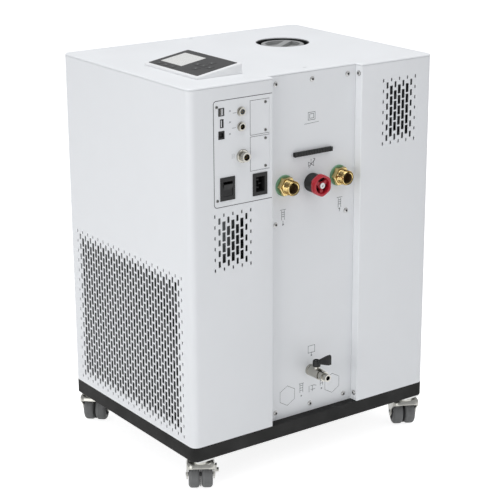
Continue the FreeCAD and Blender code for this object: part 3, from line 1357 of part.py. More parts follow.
def make_port_pipes():
    """Pipe from one port down to the pump, and the straight pipe to the tank."""
    x1 = PANEL_BACK - SHANK_INSIDE - SEAT
    pump_y, tank_y = port_places()
    radius = pipe_radius()
    z = port_z()
    corner = V(PUMP_X, pump_y, z)
    bend = PIPE_BEND_RADIUS
    lead = V(PUMP_X + bend, pump_y, z)
    down = V(PUMP_X, pump_y, z - bend)
    middle = corner + V(bend, 0, -bend) + V(-bend, 0, bend) * math.sqrt(0.5)
    foot = V(PUMP_X, pump_y, pump_top() + SEAT)
    path = Part.Wire([
        Part.LineSegment(V(x1, pump_y, z), lead).toShape(),
        Part.Arc(lead, middle, down).toShape(),
        Part.LineSegment(down, foot).toShape()])
    section = Part.Wire(Part.makeCircle(radius, V(x1, pump_y, z), AXIS_X))
    pump_pipe = path.makePipeShell([section], True, True)
    tank_wall = FILLER_X + TANK_SIZE[0] / 2 + SEAT
    tank_pipe = rod(radius, V(tank_wall, tank_y, z), AXIS_X, x1 - tank_wall)
    hollow = []
    for y in (pump_y, tank_y):
        hollow.append(rod(PIPE_BORE_RADIUS, V(x1 - 15, y, z), AXIS_X, 20))
    return Part.makeCompound([pump_pipe.cut(hollow), tank_pipe.cut(hollow)])


def castor_places():
    x = SIDE_X - CASTOR_INSET_X
    y = REAR_Y - CASTOR_INSET_Y
    return {
        "front_right": (x, -y), "front_left": (-x, -y),
        "rear_right": (x, y), "rear_left": (-x, y)}


def castor_placement(corner):
    """Turns a castor from its own frame, rolling along X, to its place and heading."""
    x, y = castor_places()[corner]
    turn = FreeCAD.Rotation(AXIS_Z, CASTOR_HEADINGS[corner] + 180)
    return FreeCAD.Placement(V(x, y, 0), turn)


def make_castor_plates():
    """Four mounting plates under the tray, each with its race and swivel pin."""
    plates = []
    top = BASE_BOTTOM
    half = CASTOR_PLATE / 2
    for x, y in castor_places().values():
        plate = block(x - half, x + half, y - half, y + half, top - CASTOR_PLATE_THICK, top)
        race_top = top - CASTOR_PLATE_THICK
        race = rod(SWIVEL_RACE_RADIUS, V(x, y, race_top), AXIS_Z * -1, SWIVEL_RACE_HEIGHT)
        pin = rod(SWIVEL_PIN_RADIUS, V(x, y, race_top), AXIS_Z * -1,
                  SWIVEL_RACE_HEIGHT + SWIVEL_PIN_LENGTH)
        plates.append(joined([plate, race, pin]))
    return Part.makeCompound(plates)


def hood_top():
    return BASE_BOTTOM - CASTOR_PLATE_THICK - SWIVEL_RACE_HEIGHT - SWIVEL_GAP


def wheel_offset():
    """Distance from the castor's middle plane to the inner face of a wheel."""
    return HOOD_WEB / 2 + WHEEL_SIDE_GAP


def hood_half_width():
    return wheel_offset() + WHEEL_WIDTH + WHEEL_SIDE_GAP + HOOD_WALL


def is_upright(edge):
    low, high = edge.Vertexes[0].Point, edge.Vertexes[-1].Point
    return abs(low.x - high.x) < 0.01 and abs(low.y - high.y) < 0.01


def hood_shell():
    """Outside of the hood: its side view drawn with arcs, then rounded in plan."""
    half = hood_half_width()
    arch = WHEEL_RADIUS + HOOD_ARCH_CLEARANCE + HOOD_ARCH_WALL
    rise = HOOD_SKIRT_HEIGHT - WHEEL_RADIUS
    back = -CASTOR_TRAIL - math.sqrt(arch * arch - rise * rise)
    slant = arch * math.sqrt(0.5)
    bend = HOOD_FRONT_RADIUS

    def at(x, z):
        return V(x, -half, z)

    heel = at(back, HOOD_SKIRT_HEIGHT)
    haunch = at(-CASTOR_TRAIL - slant, WHEEL_RADIUS + slant)
    top = at(-CASTOR_TRAIL, WHEEL_RADIUS + arch)
    crest_back = at(HOOD_CREST_BACK, HOOD_CREST)
    crest_front = at(HOOD_NOSE - bend, HOOD_CREST)
    brow = at(HOOD_NOSE - bend * (1 - math.sqrt(0.5)), HOOD_CREST - bend * (1 - math.sqrt(0.5)))
    nose = at(HOOD_NOSE, HOOD_CREST - bend)
    chin = at(HOOD_NOSE, HOOD_MOUTH_TOP - 1)
    shin = at(HOOD_SHIN, HOOD_SKIRT_HEIGHT)
    side_view = Part.Wire([
        Part.Arc(heel, haunch, top).toShape(), Part.LineSegment(top, crest_back).toShape(),
        Part.LineSegment(crest_back, crest_front).toShape(),
        Part.Arc(crest_front, brow, nose).toShape(), Part.LineSegment(nose, chin).toShape(),
        Part.LineSegment(chin, shin).toShape(), Part.LineSegment(shin, heel).toShape()])
    solid = Part.Face(side_view).extrude(AXIS_Y * (2 * half))
    length = HOOD_NOSE + CASTOR_TRAIL + arch
    middle = HOOD_NOSE - length / 2
    plan = block(middle - length / 2, middle + length / 2, -half, half, 0, BASE_BOTTOM)
    front = edges_where(plan, lambda e: edge_at(e, x=HOOD_NOSE) and is_upright(e))
    plan = plan.makeFillet(HOOD_FRONT_RADIUS, front)
    rear = edges_where(plan, lambda e: edge_at(e, x=middle - length / 2) and is_upright(e))
    plan = plan.makeFillet(HOOD_REAR_RADIUS, rear)
    return solid.common(plan)


def hood_mouth():
    """The opening in front of both wheels, from arm to arm and round at its top."""
    inner = hood_half_width() - HOOD_WALL
    mouth = block(-CASTOR_TRAIL, HOOD_NOSE + 1, -inner, inner, 0, HOOD_MOUTH_TOP)
    upper = []
    for y in (-inner, inner):
        upper += edges_where(mouth, lambda e: edge_at(e, y=y, z=HOOD_MOUTH_TOP))
    return mouth.makeFillet(HOOD_MOUTH_RADIUS, upper)


def hood_local():
    """Die-cast hood in the castor's own frame: cap, neck, web, arms and bores."""
    half = hood_half_width()
    trail = -CASTOR_TRAIL
    start = V(trail, -half, WHEEL_RADIUS)
    neck = rod(HOOD_NECK_RADIUS, V(0, 0, HOOD_MOUTH_TOP), AXIS_Z, hood_top() - HOOD_MOUTH_TOP)
    body = joined([hood_shell(), neck])
    cavities = [hood_mouth()]
    for side in (-1, 1):
        ends = sorted((side * HOOD_WEB / 2, side * (half - HOOD_WALL)))
        cavities.append(rod(
            WHEEL_RADIUS + HOOD_ARCH_CLEARANCE, V(trail, ends[0], WHEEL_RADIUS), AXIS_Y,
            ends[1] - ends[0]))
    legs = []
    arm_top = HOOD_SKIRT_HEIGHT + 2
    web_top = 2 * WHEEL_RADIUS + HOOD_ARCH_CLEARANCE - 1
    for y, thick, flare, top in (
            (-half, HOOD_WALL, LEG_RADIUS * 0.6, arm_top),
            (half - HOOD_WALL, HOOD_WALL, LEG_RADIUS * 0.6, arm_top),
            (-HOOD_WEB / 2, HOOD_WEB, 0.0, web_top)):
        leg = rod(LEG_RADIUS, V(trail, y, WHEEL_RADIUS), AXIS_Y, thick)
        stem = polygon_prism([
            V(trail - LEG_RADIUS, y, WHEEL_RADIUS), V(trail + LEG_RADIUS, y, WHEEL_RADIUS),
            V(trail + LEG_RADIUS + flare, y, top),
            V(trail - LEG_RADIUS - flare, y, top)], AXIS_Y * thick)
        legs += [leg, stem]
    hood = joined([body.cut(cavities)] + legs)
    axle = rod(AXLE_RADIUS + 0.02, start - AXIS_Y, AXIS_Y, 2 * half + 2)
    pin = rod(SWIVEL_PIN_RADIUS + RUNNING_CLEARANCE,
              V(0, 0, hood_top() - SWIVEL_PIN_LENGTH - 0.5), AXIS_Z, SWIVEL_PIN_LENGTH + 2)
    return hood.cut([axle, pin])


def axle_local():
    half = hood_half_width()
    return rod(AXLE_RADIUS, V(-CASTOR_TRAIL, -half - 0.5, WHEEL_RADIUS), AXIS_Y, 2 * half + 1)


def wheel_local(side):
    """One of the twin wheels: crowned tread, dished outer face and a running bore."""
    width = WHEEL_WIDTH
    recess = HUB_RECESS_RADIUS
    edge = WHEEL_EDGE_RADIUS
    bore = AXLE_RADIUS + RUNNING_CLEARANCE

    def line(a, b):
        return Part.LineSegment(V(a[0], a[1], 0), V(b[0], b[1], 0)).toShape()

    def corner(a, m, b):
        return Part.Arc(V(a[0], a[1], 0), V(m[0], m[1], 0), V(b[0], b[1], 0)).toShape()

    tuck = edge * (1 - math.sqrt(0.5))
    radius = WHEEL_RADIUS
    edges = [
        line((0, bore), (0, radius - edge)),
        corner((0, radius - edge), (tuck, radius - tuck), (edge, radius)),
        line((edge, radius), (width - edge, radius)),
        corner((width - edge, radius), (width - tuck, radius - tuck), (width, radius - edge)),
        line((width, radius - edge), (width, recess)),
        line((width, recess), (width - HUB_RECESS_DEPTH, recess - 2)),
        line((width - HUB_RECESS_DEPTH, recess - 2), (width - HUB_RECESS_DEPTH, bore)),
        line((width - HUB_RECESS_DEPTH, bore), (0, bore))]
    wheel = Part.Face(Part.Wire(edges)).revolve(V(0, 0, 0), AXIS_X, 360)
    turn = FreeCAD.Rotation(AXIS_X, AXIS_Y * side)
    wheel.Placement = FreeCAD.Placement(
        V(-CASTOR_TRAIL, side * wheel_offset(), WHEEL_RADIUS), turn)
    return wheel


def pedal_local():
    """Brake pedal on the outer leg: pivot eye, arm and a foot tab bent outwards."""
    y0 = hood_half_width() + PEDAL_GAP
    pivot = V(PEDAL_PIVOT[0], y0, PEDAL_PIVOT[1])
    tip = V(PEDAL_TIP[0], y0, PEDAL_TIP[1])
    radius = PEDAL_ARM_RADIUS
    eye = rod(radius, pivot, AXIS_Y, PEDAL_THICK)
    tab = rod(radius, tip, AXIS_Y, PEDAL_TAB)
    run = (tip - pivot).normalize()
    across = V(run.z, 0, -run.x) * radius
    arm = polygon_prism(
        [pivot + across, tip + across, tip - across, pivot - across], AXIS_Y * PEDAL_THICK)
    pin_bore = rod(PEDAL_PIN_RADIUS + RUNNING_CLEARANCE, pivot - AXIS_Y, AXIS_Y, PEDAL_THICK + 2)
    return joined([eye, tab, arm]).cut(pin_bore)


def pedal_pin_local():
    """The pin on the hood that carries the pedal."""
    y0 = hood_half_width()
    pivot = V(PEDAL_PIVOT[0], y0 - HOOD_WALL / 2, PEDAL_PIVOT[1])
    length = HOOD_WALL / 2 + PEDAL_GAP + PEDAL_THICK
    return rod(PEDAL_PIN_RADIUS, pivot, AXIS_Y, length)


def placed(shape, placement):
    copy = shape.copy()
    copy.Placement = placement.multiply(copy.Placement)
    return copy


def make_castors():
    hood = hood_local()
    braked_hood = joined([hood, pedal_pin_local()])
    axle = axle_local()
    pedal = pedal_local()
    for corner in castor_places():
        place = castor_placement(corner)
        braked = corner.startswith("front")
        parts["castor_hood_" + corner] = placed(braked_hood if braked else hood, place)
        parts["castor_axle_" + corner] = placed(axle, place)
        if braked:
            parts["brake_pedal_" + corner] = placed(pedal, place)
        for name, side in (("inner", -1), ("outer", 1)):
            key = "castor_wheel_" + corner + "_" + name
            parts[key] = placed(wheel_local(side), place)


parts["base_tray"] = make_base_tray()
parts["front_cover"] = make_front_cover()
parts["rear_cover"] = make_rear_cover()
parts["top_cover"] = make_top_cover()
parts["service_panel"] = make_service_panel()
parts["hexagon_blanks"] = make_hexagon_blanks()
parts["io_panel"] = make_io_panel()
parts["module_blanks"] = make_module_blanks()
parts["mains_switch_frame"] = make_mains_switch()
parts["mains_switch_rocker"] = make_mains_rocker()
parts["power_inlet"] = make_power_inlet()
parts["data_sockets"] = make_data_sockets()
parts["round_sockets"] = make_round_sockets()
parts["field_connector"] = make_field_connector()
parts["console_housing"] = make_console_housing()
parts["keypad_overlay"] = make_keypad_overlay()
parts["display_window"] = make_display_window()
parts["filler_well"] = make_filler_well()
parts["filler_cap"] = make_filler_cap()
parts["seal_rings"] = make_seal_rings()
parts["return_fitting"] = make_fitting(port_places()[0])
parts["supply_fitting"] = make_fitting(port_places()[1])
parts["bypass_bonnet"] = make_bypass_bonnet()
parts["bypass_handwheel"] = make_bypass_handwheel()
parts["handwheel_screw"] = make_handwheel_screw()
parts["drain_valve"] = make_drain_valve()
parts["drain_lever"] = make_drain_lever()
parts["lever_nut"] = make_lever_nut()
parts["panel_grip"] = make_panel_grip()
parts["panel_screws"] = make_panel_screws()
parts["inner_frame"] = make_inner_frame()
parts["condenser"] = make_condenser()
parts["fan_shroud"] = make_fan_shroud()
parts["fan_motor"] = make_fan_motor()
parts["fan_rotor"] = make_fan_rotor()
parts["compressor"] = make_compressor()
parts["reservoir_tank"] = make_reservoir_tank()
parts["circulation_pump"] = make_circulation_pump()
parts["heat_exchanger"] = make_heat_exchanger()
parts["control_box"] = make_control_box()
parts["port_pipes"] = make_port_pipes()
parts["castor_plates"] = make_castor_plates()
make_castors()

outline = FreeCAD.BoundBox()
for shape in parts.values():
    outline.add(shape.optimalBoundingBox(False))
to_origin = V(-outline.Center.x, -outline.Center.y, 0)

os.makedirs("parts", exist_ok=True)
for name, shape in parts.items():
    shape.translate(to_origin)
    shape.exportStep("parts/" + name + ".step")
print(len(parts), "parts written, moved by", to_origin)
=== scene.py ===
import math

import bmesh
import bpy
from mathutils import Matrix, Vector


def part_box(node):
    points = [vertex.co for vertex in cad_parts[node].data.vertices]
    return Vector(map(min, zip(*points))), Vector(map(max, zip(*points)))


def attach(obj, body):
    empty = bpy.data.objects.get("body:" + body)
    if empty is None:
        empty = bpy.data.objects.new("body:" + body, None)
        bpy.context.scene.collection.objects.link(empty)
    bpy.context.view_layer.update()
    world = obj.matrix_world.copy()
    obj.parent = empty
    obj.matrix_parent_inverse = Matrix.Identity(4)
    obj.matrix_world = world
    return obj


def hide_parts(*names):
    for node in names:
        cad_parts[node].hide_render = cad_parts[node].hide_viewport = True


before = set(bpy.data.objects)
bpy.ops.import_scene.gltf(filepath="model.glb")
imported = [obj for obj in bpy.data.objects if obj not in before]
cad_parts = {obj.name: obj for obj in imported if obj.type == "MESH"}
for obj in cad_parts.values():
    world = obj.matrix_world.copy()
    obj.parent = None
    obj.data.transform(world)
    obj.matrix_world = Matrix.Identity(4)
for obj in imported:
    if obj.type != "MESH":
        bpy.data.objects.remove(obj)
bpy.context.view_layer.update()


# Base tray. Folded 3 mm steel with a fine-textured black powder coat. It carries the
# cabinet and the castors, and its floor holds the refrigeration circuit.

def linear(hex_colour):
    """An sRGB hex colour as the linear values that a shader takes."""
    channels = [int(hex_colour[i:i + 2], 16) / 255 for i in (1, 3, 5)]
    return [c / 12.92 if c <= 0.04045 else ((c + 0.055) / 1.055) ** 2.4 for c in channels] + [1.0]


def add(tree, kind, inputs=None, **settings):
    """Adds a shader node with its settings, socket values and links."""
    new = tree.nodes.new("ShaderNode" + kind)
    for name, value in settings.items():
        setattr(new, name, value)
    for name, value in (inputs or {}).items():
        if isinstance(value, bpy.types.NodeSocket):
            tree.links.new(value, new.inputs[name])
        else:
            new.inputs[name].default_value = value
    return new


def surface(name, colour, roughness, grain_mm, relief_mm, metallic=0.0, tone=0.03,
            patch_mm=70.0, turned_mm=0.0, brushed=None):
    """A finish with fine relief, and a slow drift of tone and gloss across the piece."""
    material = bpy.data.materials.new(name)
    material.use_nodes = True
    tree = material.node_tree
    tree.nodes.clear()
    place = add(tree, "TexCoord").outputs["Object"]
    patches = add(tree, "TexNoise", {"Vector": place, "Scale": 1000 / patch_mm, "Detail": 4.0})
    drift = {"Value": patches.outputs["Fac"], "From Min": 0.3, "From Max": 0.7}
    shade = add(tree, "MapRange", {**drift, "To Min": 1 - tone, "To Max": 1 + tone})
    paint = add(tree, "HueSaturation", {
        "Value": shade.outputs["Result"], "Color": linear(colour)})
    gloss = add(tree, "MapRange", {
        **drift, "To Min": roughness * 0.88, "To Max": roughness * 1.12})
    stretch = add(tree, "Mapping", {"Vector": place, "Scale": brushed or (1.0, 1.0, 1.0)})
    grain = add(tree, "TexNoise", {
        "Vector": stretch.outputs["Vector"], "Scale": 1000 / grain_mm, "Detail": 2.0})
    relief = add(tree, "Bump", {
        "Height": grain.outputs["Fac"], "Distance": relief_mm / 1000})
    if turned_mm:
        # Blender's bands repeat every 0.314 of the scaled length.
        rings = add(tree, "TexWave", {
            "Vector": place, "Scale": 314.0 / turned_mm, "Distortion": 0.6})
        relief = add(tree, "Bump", {
            "Height": rings.outputs["Fac"], "Distance": relief_mm / 1000,
            "Normal": relief.outputs["Normal"]})
    shader = add(tree, "BsdfPrincipled", {
        "Base Color": paint.outputs["Color"], "Roughness": gloss.outputs["Result"],
        "Metallic": metallic, "Normal": relief.outputs["Normal"]})
    add(tree, "OutputMaterial", {"Surface": shader.outputs["BSDF"]})
    return material


def coat(material, *nodes):
    """Gives CAD nodes their finish."""
    for name in nodes:
        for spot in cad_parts[name].material_slots:
            spot.material = material


# Powder coat flows into a fine orange peel, about 1 mm from bump to bump.
black_coat = surface("black_powder_coat_steel", "#0c0c0b", 0.85, 1.0, 0.05, tone=0.06)
coat(black_coat, "base_tray")
tray_low, tray_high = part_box("base_tray")
tray_middle = (tray_low + tray_high) / 2
MM = 0.001
# Pieces are drawn in mm from the tray's middle and moved to the part's place on the stage.
TO_ROW = Matrix.Translation((tray_middle.x, tray_middle.y, 0)) @ Matrix.Diagonal((MM, MM, MM, 1))


# Front and rear covers. Each is one 1.5 mm steel sheet, laser-cut flat with all its slots,
# folded round the corners and into the recess, and powder-coated white. They are drawn
# flat and folded here in the same way. Slots shrink to two smaller sizes at the border.

SHEET = 1.5
COVER_LOW = 100.2
COVER_TOP = 756.0
SIDE_X = 215.0
BEND = 14.0
LIP_BEND, FLANGE_BEND = 2.0, 0.3
FACE = 402.0
HALF_SIDE = 261.0
LIP = 17.4
FLANGE = 25.7
RECESS_FRONT, RECESS_REAR = -100.0, 105.0
JOINT_FRONT, JOINT_REAR = 102.75, 103.25
QUARTER = math.pi / 2
SLOT_ACROSS = 9.62
SLOT_PITCH = 19.8
FRONT_PITCH = 20.2
SLOT_CORNER = 0.8
OPENING_FRONT, OPENING_INTO_LIP = -224.5, 15.5
OPENING_MIDDLE, OPENING_HEIGHT = 638.25, 189.5
OPENING_CORNER = 5.5
SLOT_SIZES = {"large": (7.6, 17.2), "medium": (5.2, 11.8), "tiny": (3.2, 6.6)}


def piece(name, bm, material, body, stands_for=(), sharp=30.0):
    """Hands a mesh, drawn in mm from the cabinet's middle, over as a piece of the part."""
    bmesh.ops.remove_doubles(bm, verts=bm.verts, dist=0.001)
    bmesh.ops.recalc_face_normals(bm, faces=bm.faces)
    bmesh.ops.transform(bm, matrix=TO_ROW, verts=bm.verts)
    mesh = bpy.data.meshes.new(name)
    bm.to_mesh(mesh)
    bm.free()
    mesh.materials.append(material)
    mesh.shade_smooth()
    mesh.set_sharp_from_angle(angle=math.radians(sharp))
    made = bpy.data.objects.new(name, mesh)
    bpy.context.scene.collection.objects.link(made)
    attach(made, body)
    if stands_for:
        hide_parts(*stands_for)
    return made


def blank(bm, u, v, width, height):
    """A flat rectangle on the undeveloped sheet, centred on (u, v)."""
    place = Matrix.Translation((u, v, 0)) @ Matrix.Diagonal((width, height, 1, 1))
    return bmesh.ops.create_grid(bm, x_segments=1, y_segments=1, size=0.5, matrix=place)["verts"]


def slots(bm, u, v, columns, rows, pitch=SLOT_PITCH):
    """Staggered slots over a field, with small ones round its border."""
    for column in range(columns):
        edge = min(column, columns - 1 - column)
        count = rows - column % 2
        for row in range(count):
            at_end = row in (0, count - 1)
            if edge == 0 or (column % 2 == 0 and at_end):
                size = SLOT_SIZES["tiny"]
            elif edge == 1 or at_end:
                size = SLOT_SIZES["medium"]
            else:
                size = SLOT_SIZES["large"]
            blank(bm, u + (column - (columns - 1) / 2) * SLOT_ACROSS,
                  v + (row - (count - 1) / 2) * pitch, *size)


def along(path, u, depth):
    """Where a place on the flat sheet lands after folding: plan position at that depth."""
    for start, end, point, heading, turn, radius in path:
        if u <= end + 1e-6:
            break
    left = Vector((-math.sin(heading), math.cos(heading)))
    if turn:
        side = math.copysign(1.0, turn)
        hub = point + left * side * radius
        heading += side * (u - start) / radius
        left = Vector((-math.sin(heading), math.cos(heading)))
        return hub - left * side * radius + left * depth
    return point + Vector((math.cos(heading), math.sin(heading))) * (u - start) + left * depth


def fold_path(start, heading, runs):
    """The sheet's outer face in plan, from (straight length, turn, outer bend radius)."""
    path, u = [], 0.0
    point, heading = Vector(start), math.radians(heading)
    for length, turn, radius in runs:
        for bend, size in ((0.0, length), (math.radians(turn), abs(math.radians(turn)) * radius)):
            if size:
                path.append((u, u + size, point, heading, bend, radius))
                point = along(path, u + size, 0.0)
                heading += bend
                u += size
    return path


def folded_cover(name, path, node, field, opening=None):
    """Cuts the flat blank, gives it thickness and folds it along the path."""
    bm = bmesh.new()
    field(bm)
    bmesh.ops.bevel(bm, geom=bm.verts[:], offset=SLOT_CORNER, offset_type="OFFSET",
                    affect="VERTICES", segments=1, profile=0.5, material=-1)
    if opening:
        corners = blank(bm, *opening)
        front = [v for v in corners if v.co.x < opening[0]]
        bmesh.ops.bevel(bm, geom=front, offset=OPENING_CORNER, offset_type="OFFSET",
                        affect="VERTICES", segments=4, profile=0.5, material=-1)
    length = path[-1][1]
    blank(bm, length / 2, (COVER_LOW + COVER_TOP) / 2, length, COVER_TOP - COVER_LOW)
    bmesh.ops.delete(bm, geom=bm.faces[:], context="FACES_ONLY")
    bmesh.ops.triangle_fill(bm, use_beauty=True, use_dissolve=False, edges=bm.edges[:])
    for start, end, point, heading, turn, radius in path:
        steps = 8 if radius > 5 else 3
        for step in range(steps + 1 if turn else 0):
            bmesh.ops.bisect_plane(
                bm, geom=bm.verts[:] + bm.edges[:] + bm.faces[:], dist=0.0005,
                plane_co=(start + (end - start) * step / steps, 0, 0), plane_no=(1, 0, 0))
    bmesh.ops.solidify(bm, geom=bm.faces[:], thickness=SHEET)
    for vertex in bm.verts:
        plan = along(path, vertex.co.x, abs(vertex.co.z))
        vertex.co = (plan.x, plan.y, vertex.co.y)
    return piece(name, bm, white_coat, "cabinet", [node])


# The white coat is matt enough to show no lamps, with the same fine orange peel.
white_coat = surface("white_powder_coat_steel", "#eceef0", 0.42, 1.2, 0.02, tone=0.008)
left_run = JOINT_FRONT + HALF_SIDE
front_path = fold_path((-SIDE_X, JOINT_FRONT), -90, [
    (left_run, 90, BEND), (FACE, 90, BEND), (HALF_SIDE + RECESS_FRONT, 90, LIP_BEND),
    (LIP, -90, FLANGE_BEND), (FLANGE, 0, 0)])
front_middle = left_run + BEND * QUARTER + FACE / 2
# Where the cabinet's middle plane would lie on each flat sheet, along its right side.
front_zero = left_run + FACE + 2 * BEND * QUARTER + HALF_SIDE
rear_zero = FLANGE + FLANGE_BEND * QUARTER + LIP + LIP_BEND * QUARTER - RECESS_REAR
opening_front = front_zero + OPENING_FRONT
opening_rear = front_zero + RECESS_FRONT + LIP_BEND * QUARTER + OPENING_INTO_LIP


def front_slots(bm):
    """The front grille and the vent under the socket plate."""
    slots(bm, front_middle, 265.6, 39, 16, FRONT_PITCH)
    slots(bm, front_zero - 185.0, 479.0, 9, 6)


folded_cover("front_cover_sheet", front_path, "front_cover", front_slots, (
    (opening_front + opening_rear) / 2, OPENING_MIDDLE, opening_rear - opening_front,
    OPENING_HEIGHT))
rear_path = fold_path((195.3, 77.0), 90, [
    (FLANGE, -90, FLANGE_BEND), (LIP, 90, LIP_BEND), (HALF_SIDE - RECESS_REAR, 90, BEND),
    (FACE, 90, BEND), (HALF_SIDE - JOINT_REAR, 0, 0)])
rear_middle = rear_zero + HALF_SIDE + BEND * QUARTER + FACE / 2


def rear_slots(bm):
    """The vent high on the right side and the one in the rear wall."""
    slots(bm, rear_zero + 193.5, 663.5, 9, 7)
    slots(bm, rear_middle, 224.0, 19, 7)


folded_cover("rear_cover_sheet", rear_path, "rear_cover", rear_slots)


# Lid, service panel, socket plate and their blanks. Flat 1.5 mm sheet parts from the same
# white coating line, screwed to the frame inside.

coat(white_coat, "top_cover", "service_panel", "io_panel", "hexagon_blanks", "module_blanks")


# Screws. Zinc-plated pan heads with a captive washer and a six-lobe recess, turned into
# rivet nuts behind the sheets. Small black-plated ones hold the socket plate and blanks.

PANEL_X = 197.0
STEP_X = 206.0
RECESS_MID = 2.5


def aimed(place, direction=(1, 0, 0)):
    """A frame at the place whose X axis points along the direction."""
    turn = Vector((1, 0, 0)).rotation_difference(Vector(direction)).to_matrix().to_4x4()
    return Matrix.Translation(place) @ turn


def turned(bm, profile, where, steps=48):
    """Spins a (distance along, radius) profile round the X axis of a frame."""
    points = [bm.verts.new(where @ Vector((x, radius, 0))) for x, radius in profile]
    edges = [bm.edges.new(pair) for pair in zip(points, points[1:])]
    bmesh.ops.spin(
        bm, geom=points + edges, cent=where.translation, dvec=(0, 0, 0), angle=2 * math.pi,
        axis=where.to_3x3() @ Vector((1, 0, 0)), steps=steps, use_merge=True,
        use_duplicate=False)


def screw(bm, where, scale=1.0, washer=5.0):
    """One pan head with its washer and shank, seated at the frame's origin."""
    head = [(-6.0, 0.0), (-6.0, 2.0), (0.0, 2.0), (0.0, washer), (0.6, washer), (0.65, 3.9),
            (1.3, 3.8), (1.9, 3.2), (2.2, 2.6), (2.2, 2.2), (0.8, 1.9), (0.7, 0.0)]
    profile = [(x * scale if x > -6 else x, radius * scale) for x, radius in head]
    before = set(bm.verts)
    turned(bm, profile, where, 24)
    inverse = where.inverted()
    for vertex in set(bm.verts) - before:
        spot = inverse @ vertex.co
        radius = math.hypot(spot.y, spot.z)
        if spot.x > 0.7 * scale and 1.0 * scale < radius < 2.1 * scale:
            lobe = 1 + 0.2 * math.cos(6 * math.atan2(spot.z, spot.y))
            vertex.co = where @ Vector((spot.x, spot.y * lobe, spot.z * lobe))
    # Faces in the six-lobe recess and round the washer's edge take the second material, painted
    # shade.
    for face in {face for vertex in set(bm.verts) - before for face in vertex.link_faces}:
        spot = inverse @ face.calc_center_median()
        reach = math.hypot(spot.y, spot.z) / scale
        in_recess = reach < 2.2 and 0.5 * scale < spot.x < 1.8 * scale
        if in_recess or reach > max(4.6, 0.97 * washer):
            face.material_index = 1


zinc_plate = surface("zinc_plated_steel", "#bdbdbc", 0.3, 0.8, 0.01, metallic=1.0, tone=0.08,
                     patch_mm=8.0)
# The recess and the washer's edge are painted dark as shade: a dark star in a ring.
recess_shade_paint = surface("painted_screw_shade", "#2b2b2b", 0.6, 0.8, 0.01, metallic=0.5, tone=0.08)
screws = bmesh.new()
for height in (742.0, 115.3):
    for y in (-79.0, RECESS_MID, 84.0):
        screw(screws, aimed((PANEL_X, y, height)))
    screw(screws, aimed((STEP_X, 103.0, height), (0, -1, 0)))
for y in (-79.0, 84.0):
    screw(screws, aimed((PANEL_X, y, 484.0)))
made = piece("pan_head_screws", screws, zinc_plate, "cabinet",
             ["panel_screws"])
made.data.materials.append(recess_shade_paint)
black_zinc = surface("black_zinc_plated_steel", "#858583", 0.34, 0.8, 0.01, metallic=1.0,
                     tone=0.08, patch_mm=6.0)
small_screws = bmesh.new()
for y, height in ((-217.7, 722.0), (-217.7, 556.0), (-114.5, 719.0), (-114.5, 669.0),
                  (-114.5, 654.5), (-114.5, 604.5)):
    screw(small_screws, aimed((SIDE_X, y, height)), 0.7, 4.0)
made = piece("small_pan_head_screws", small_screws, black_zinc, "cabinet")
made.data.materials.append(recess_shade_paint)


# Printed signs. Screen-printed grey ink, about a twentieth of a millimetre thick, on the
# service panel and the socket plate: plain signs for tank, valve, pump and flow direction.

INK_THICK = 0.06


def stroke(bm, x, start, end, width=0.9):
    """One inked line between two (y, height) places on a wall that faces X."""
    run = Vector((0, end[0] - start[0], end[1] - start[1]))
    centre = Vector((x + INK_THICK / 2, (start[0] + end[0]) / 2, (start[1] + end[1]) / 2))
    turn = Matrix.Rotation(math.atan2(run.z, run.y), 4, "X")
    size = Matrix.Diagonal((INK_THICK, run.length + width, width, 1))
    bmesh.ops.create_cube(bm, size=1.0, matrix=Matrix.Translation(centre) @ turn @ size)


def strokes(bm, x, origin, *lines, width=0.9):
    """Open lines of (y, height) steps from an origin."""
    for line in lines:
        for a, b in zip(line, line[1:]):
            stroke(bm, x, (origin[0] + a[0], origin[1] + a[1]),
                   (origin[0] + b[0], origin[1] + b[1]), width)


def arrow_head(bm, x, place, size, angle):
    """A filled triangle that points at the angle, from the wall's Y axis to the top."""
    centre = Matrix.Translation((x + INK_THICK / 2, *place))
    aim = Matrix.Rotation(math.radians(angle), 4, "X")
    flat = Matrix.Rotation(QUARTER, 4, "Y") @ Matrix.Rotation(QUARTER, 4, "Z")
    bmesh.ops.create_cone(bm, cap_ends=True, segments=3, radius1=size, radius2=size,
                          depth=INK_THICK, matrix=centre @ aim @ flat)


sign_ink = surface("printed_grey_ink", "#5d6164", 0.55, 0.5, 0.004, tone=0.05)
marks = bmesh.new()
tank = ((-7.8, 7), (-7.8, -7), (7.8, -7), (7.8, 7), (-7.8, 7))
strokes(marks, PANEL_X, (1.9, 674.8), tank,
        ((-4.6, 4), (-4.6, -4), (4.6, -4), (4.6, 4), (-4.6, 4)))
strokes(marks, PANEL_X, (1.9, 662.0), ((-16, -0.6), (16, 0.6)), width=0.7)
strokes(marks, PANEL_X, (1.3, 585.8), ((-6, -4), (-6, 4), (6, -4), (6, 4), (-6, -4)),
        ((0, 0), (0, 9)), ((-5, -7), (9, 9)), ((5, 9.5), (9, 9), (8, 5)))
# The flow leaves the machine at one connection and comes back at the other.
for y, height, tip, angle in ((-62.1, 499.9, 481.9, -90), (68.8, 501.9, 489.9, 90)):
    strokes(marks, PANEL_X, (y, height), ((-3, -9), (-3, 8)), ((3, -9), (3, 8)),
            ((-6, 10), (6, 10)), ((-3, 5), (3, 5)), ((-3, 1), (3, 1)), ((-3, -3), (3, -3)),
            ((0, -11), (0, -17)))
    arrow_head(marks, PANEL_X, (y, tip), 2.6, angle)
strokes(marks, PANEL_X, (5.5, 225.0), tank, ((0, -6.5), (0, -11)))
arrow_head(marks, PANEL_X, (5.5, 212.3), 2.6, -90)
strokes(marks, PANEL_X, (-17.9, 151.3), ((-5, 9), (5, 9)), ((-3.5, 9), (-3.5, -9)),
        ((3.5, -9), (3.5, 9)), ((-3.5, 5), (3.5, 5)), ((-3.5, 0), (3.5, 0)),
        ((-3.5, -5), (3.5, -5)))
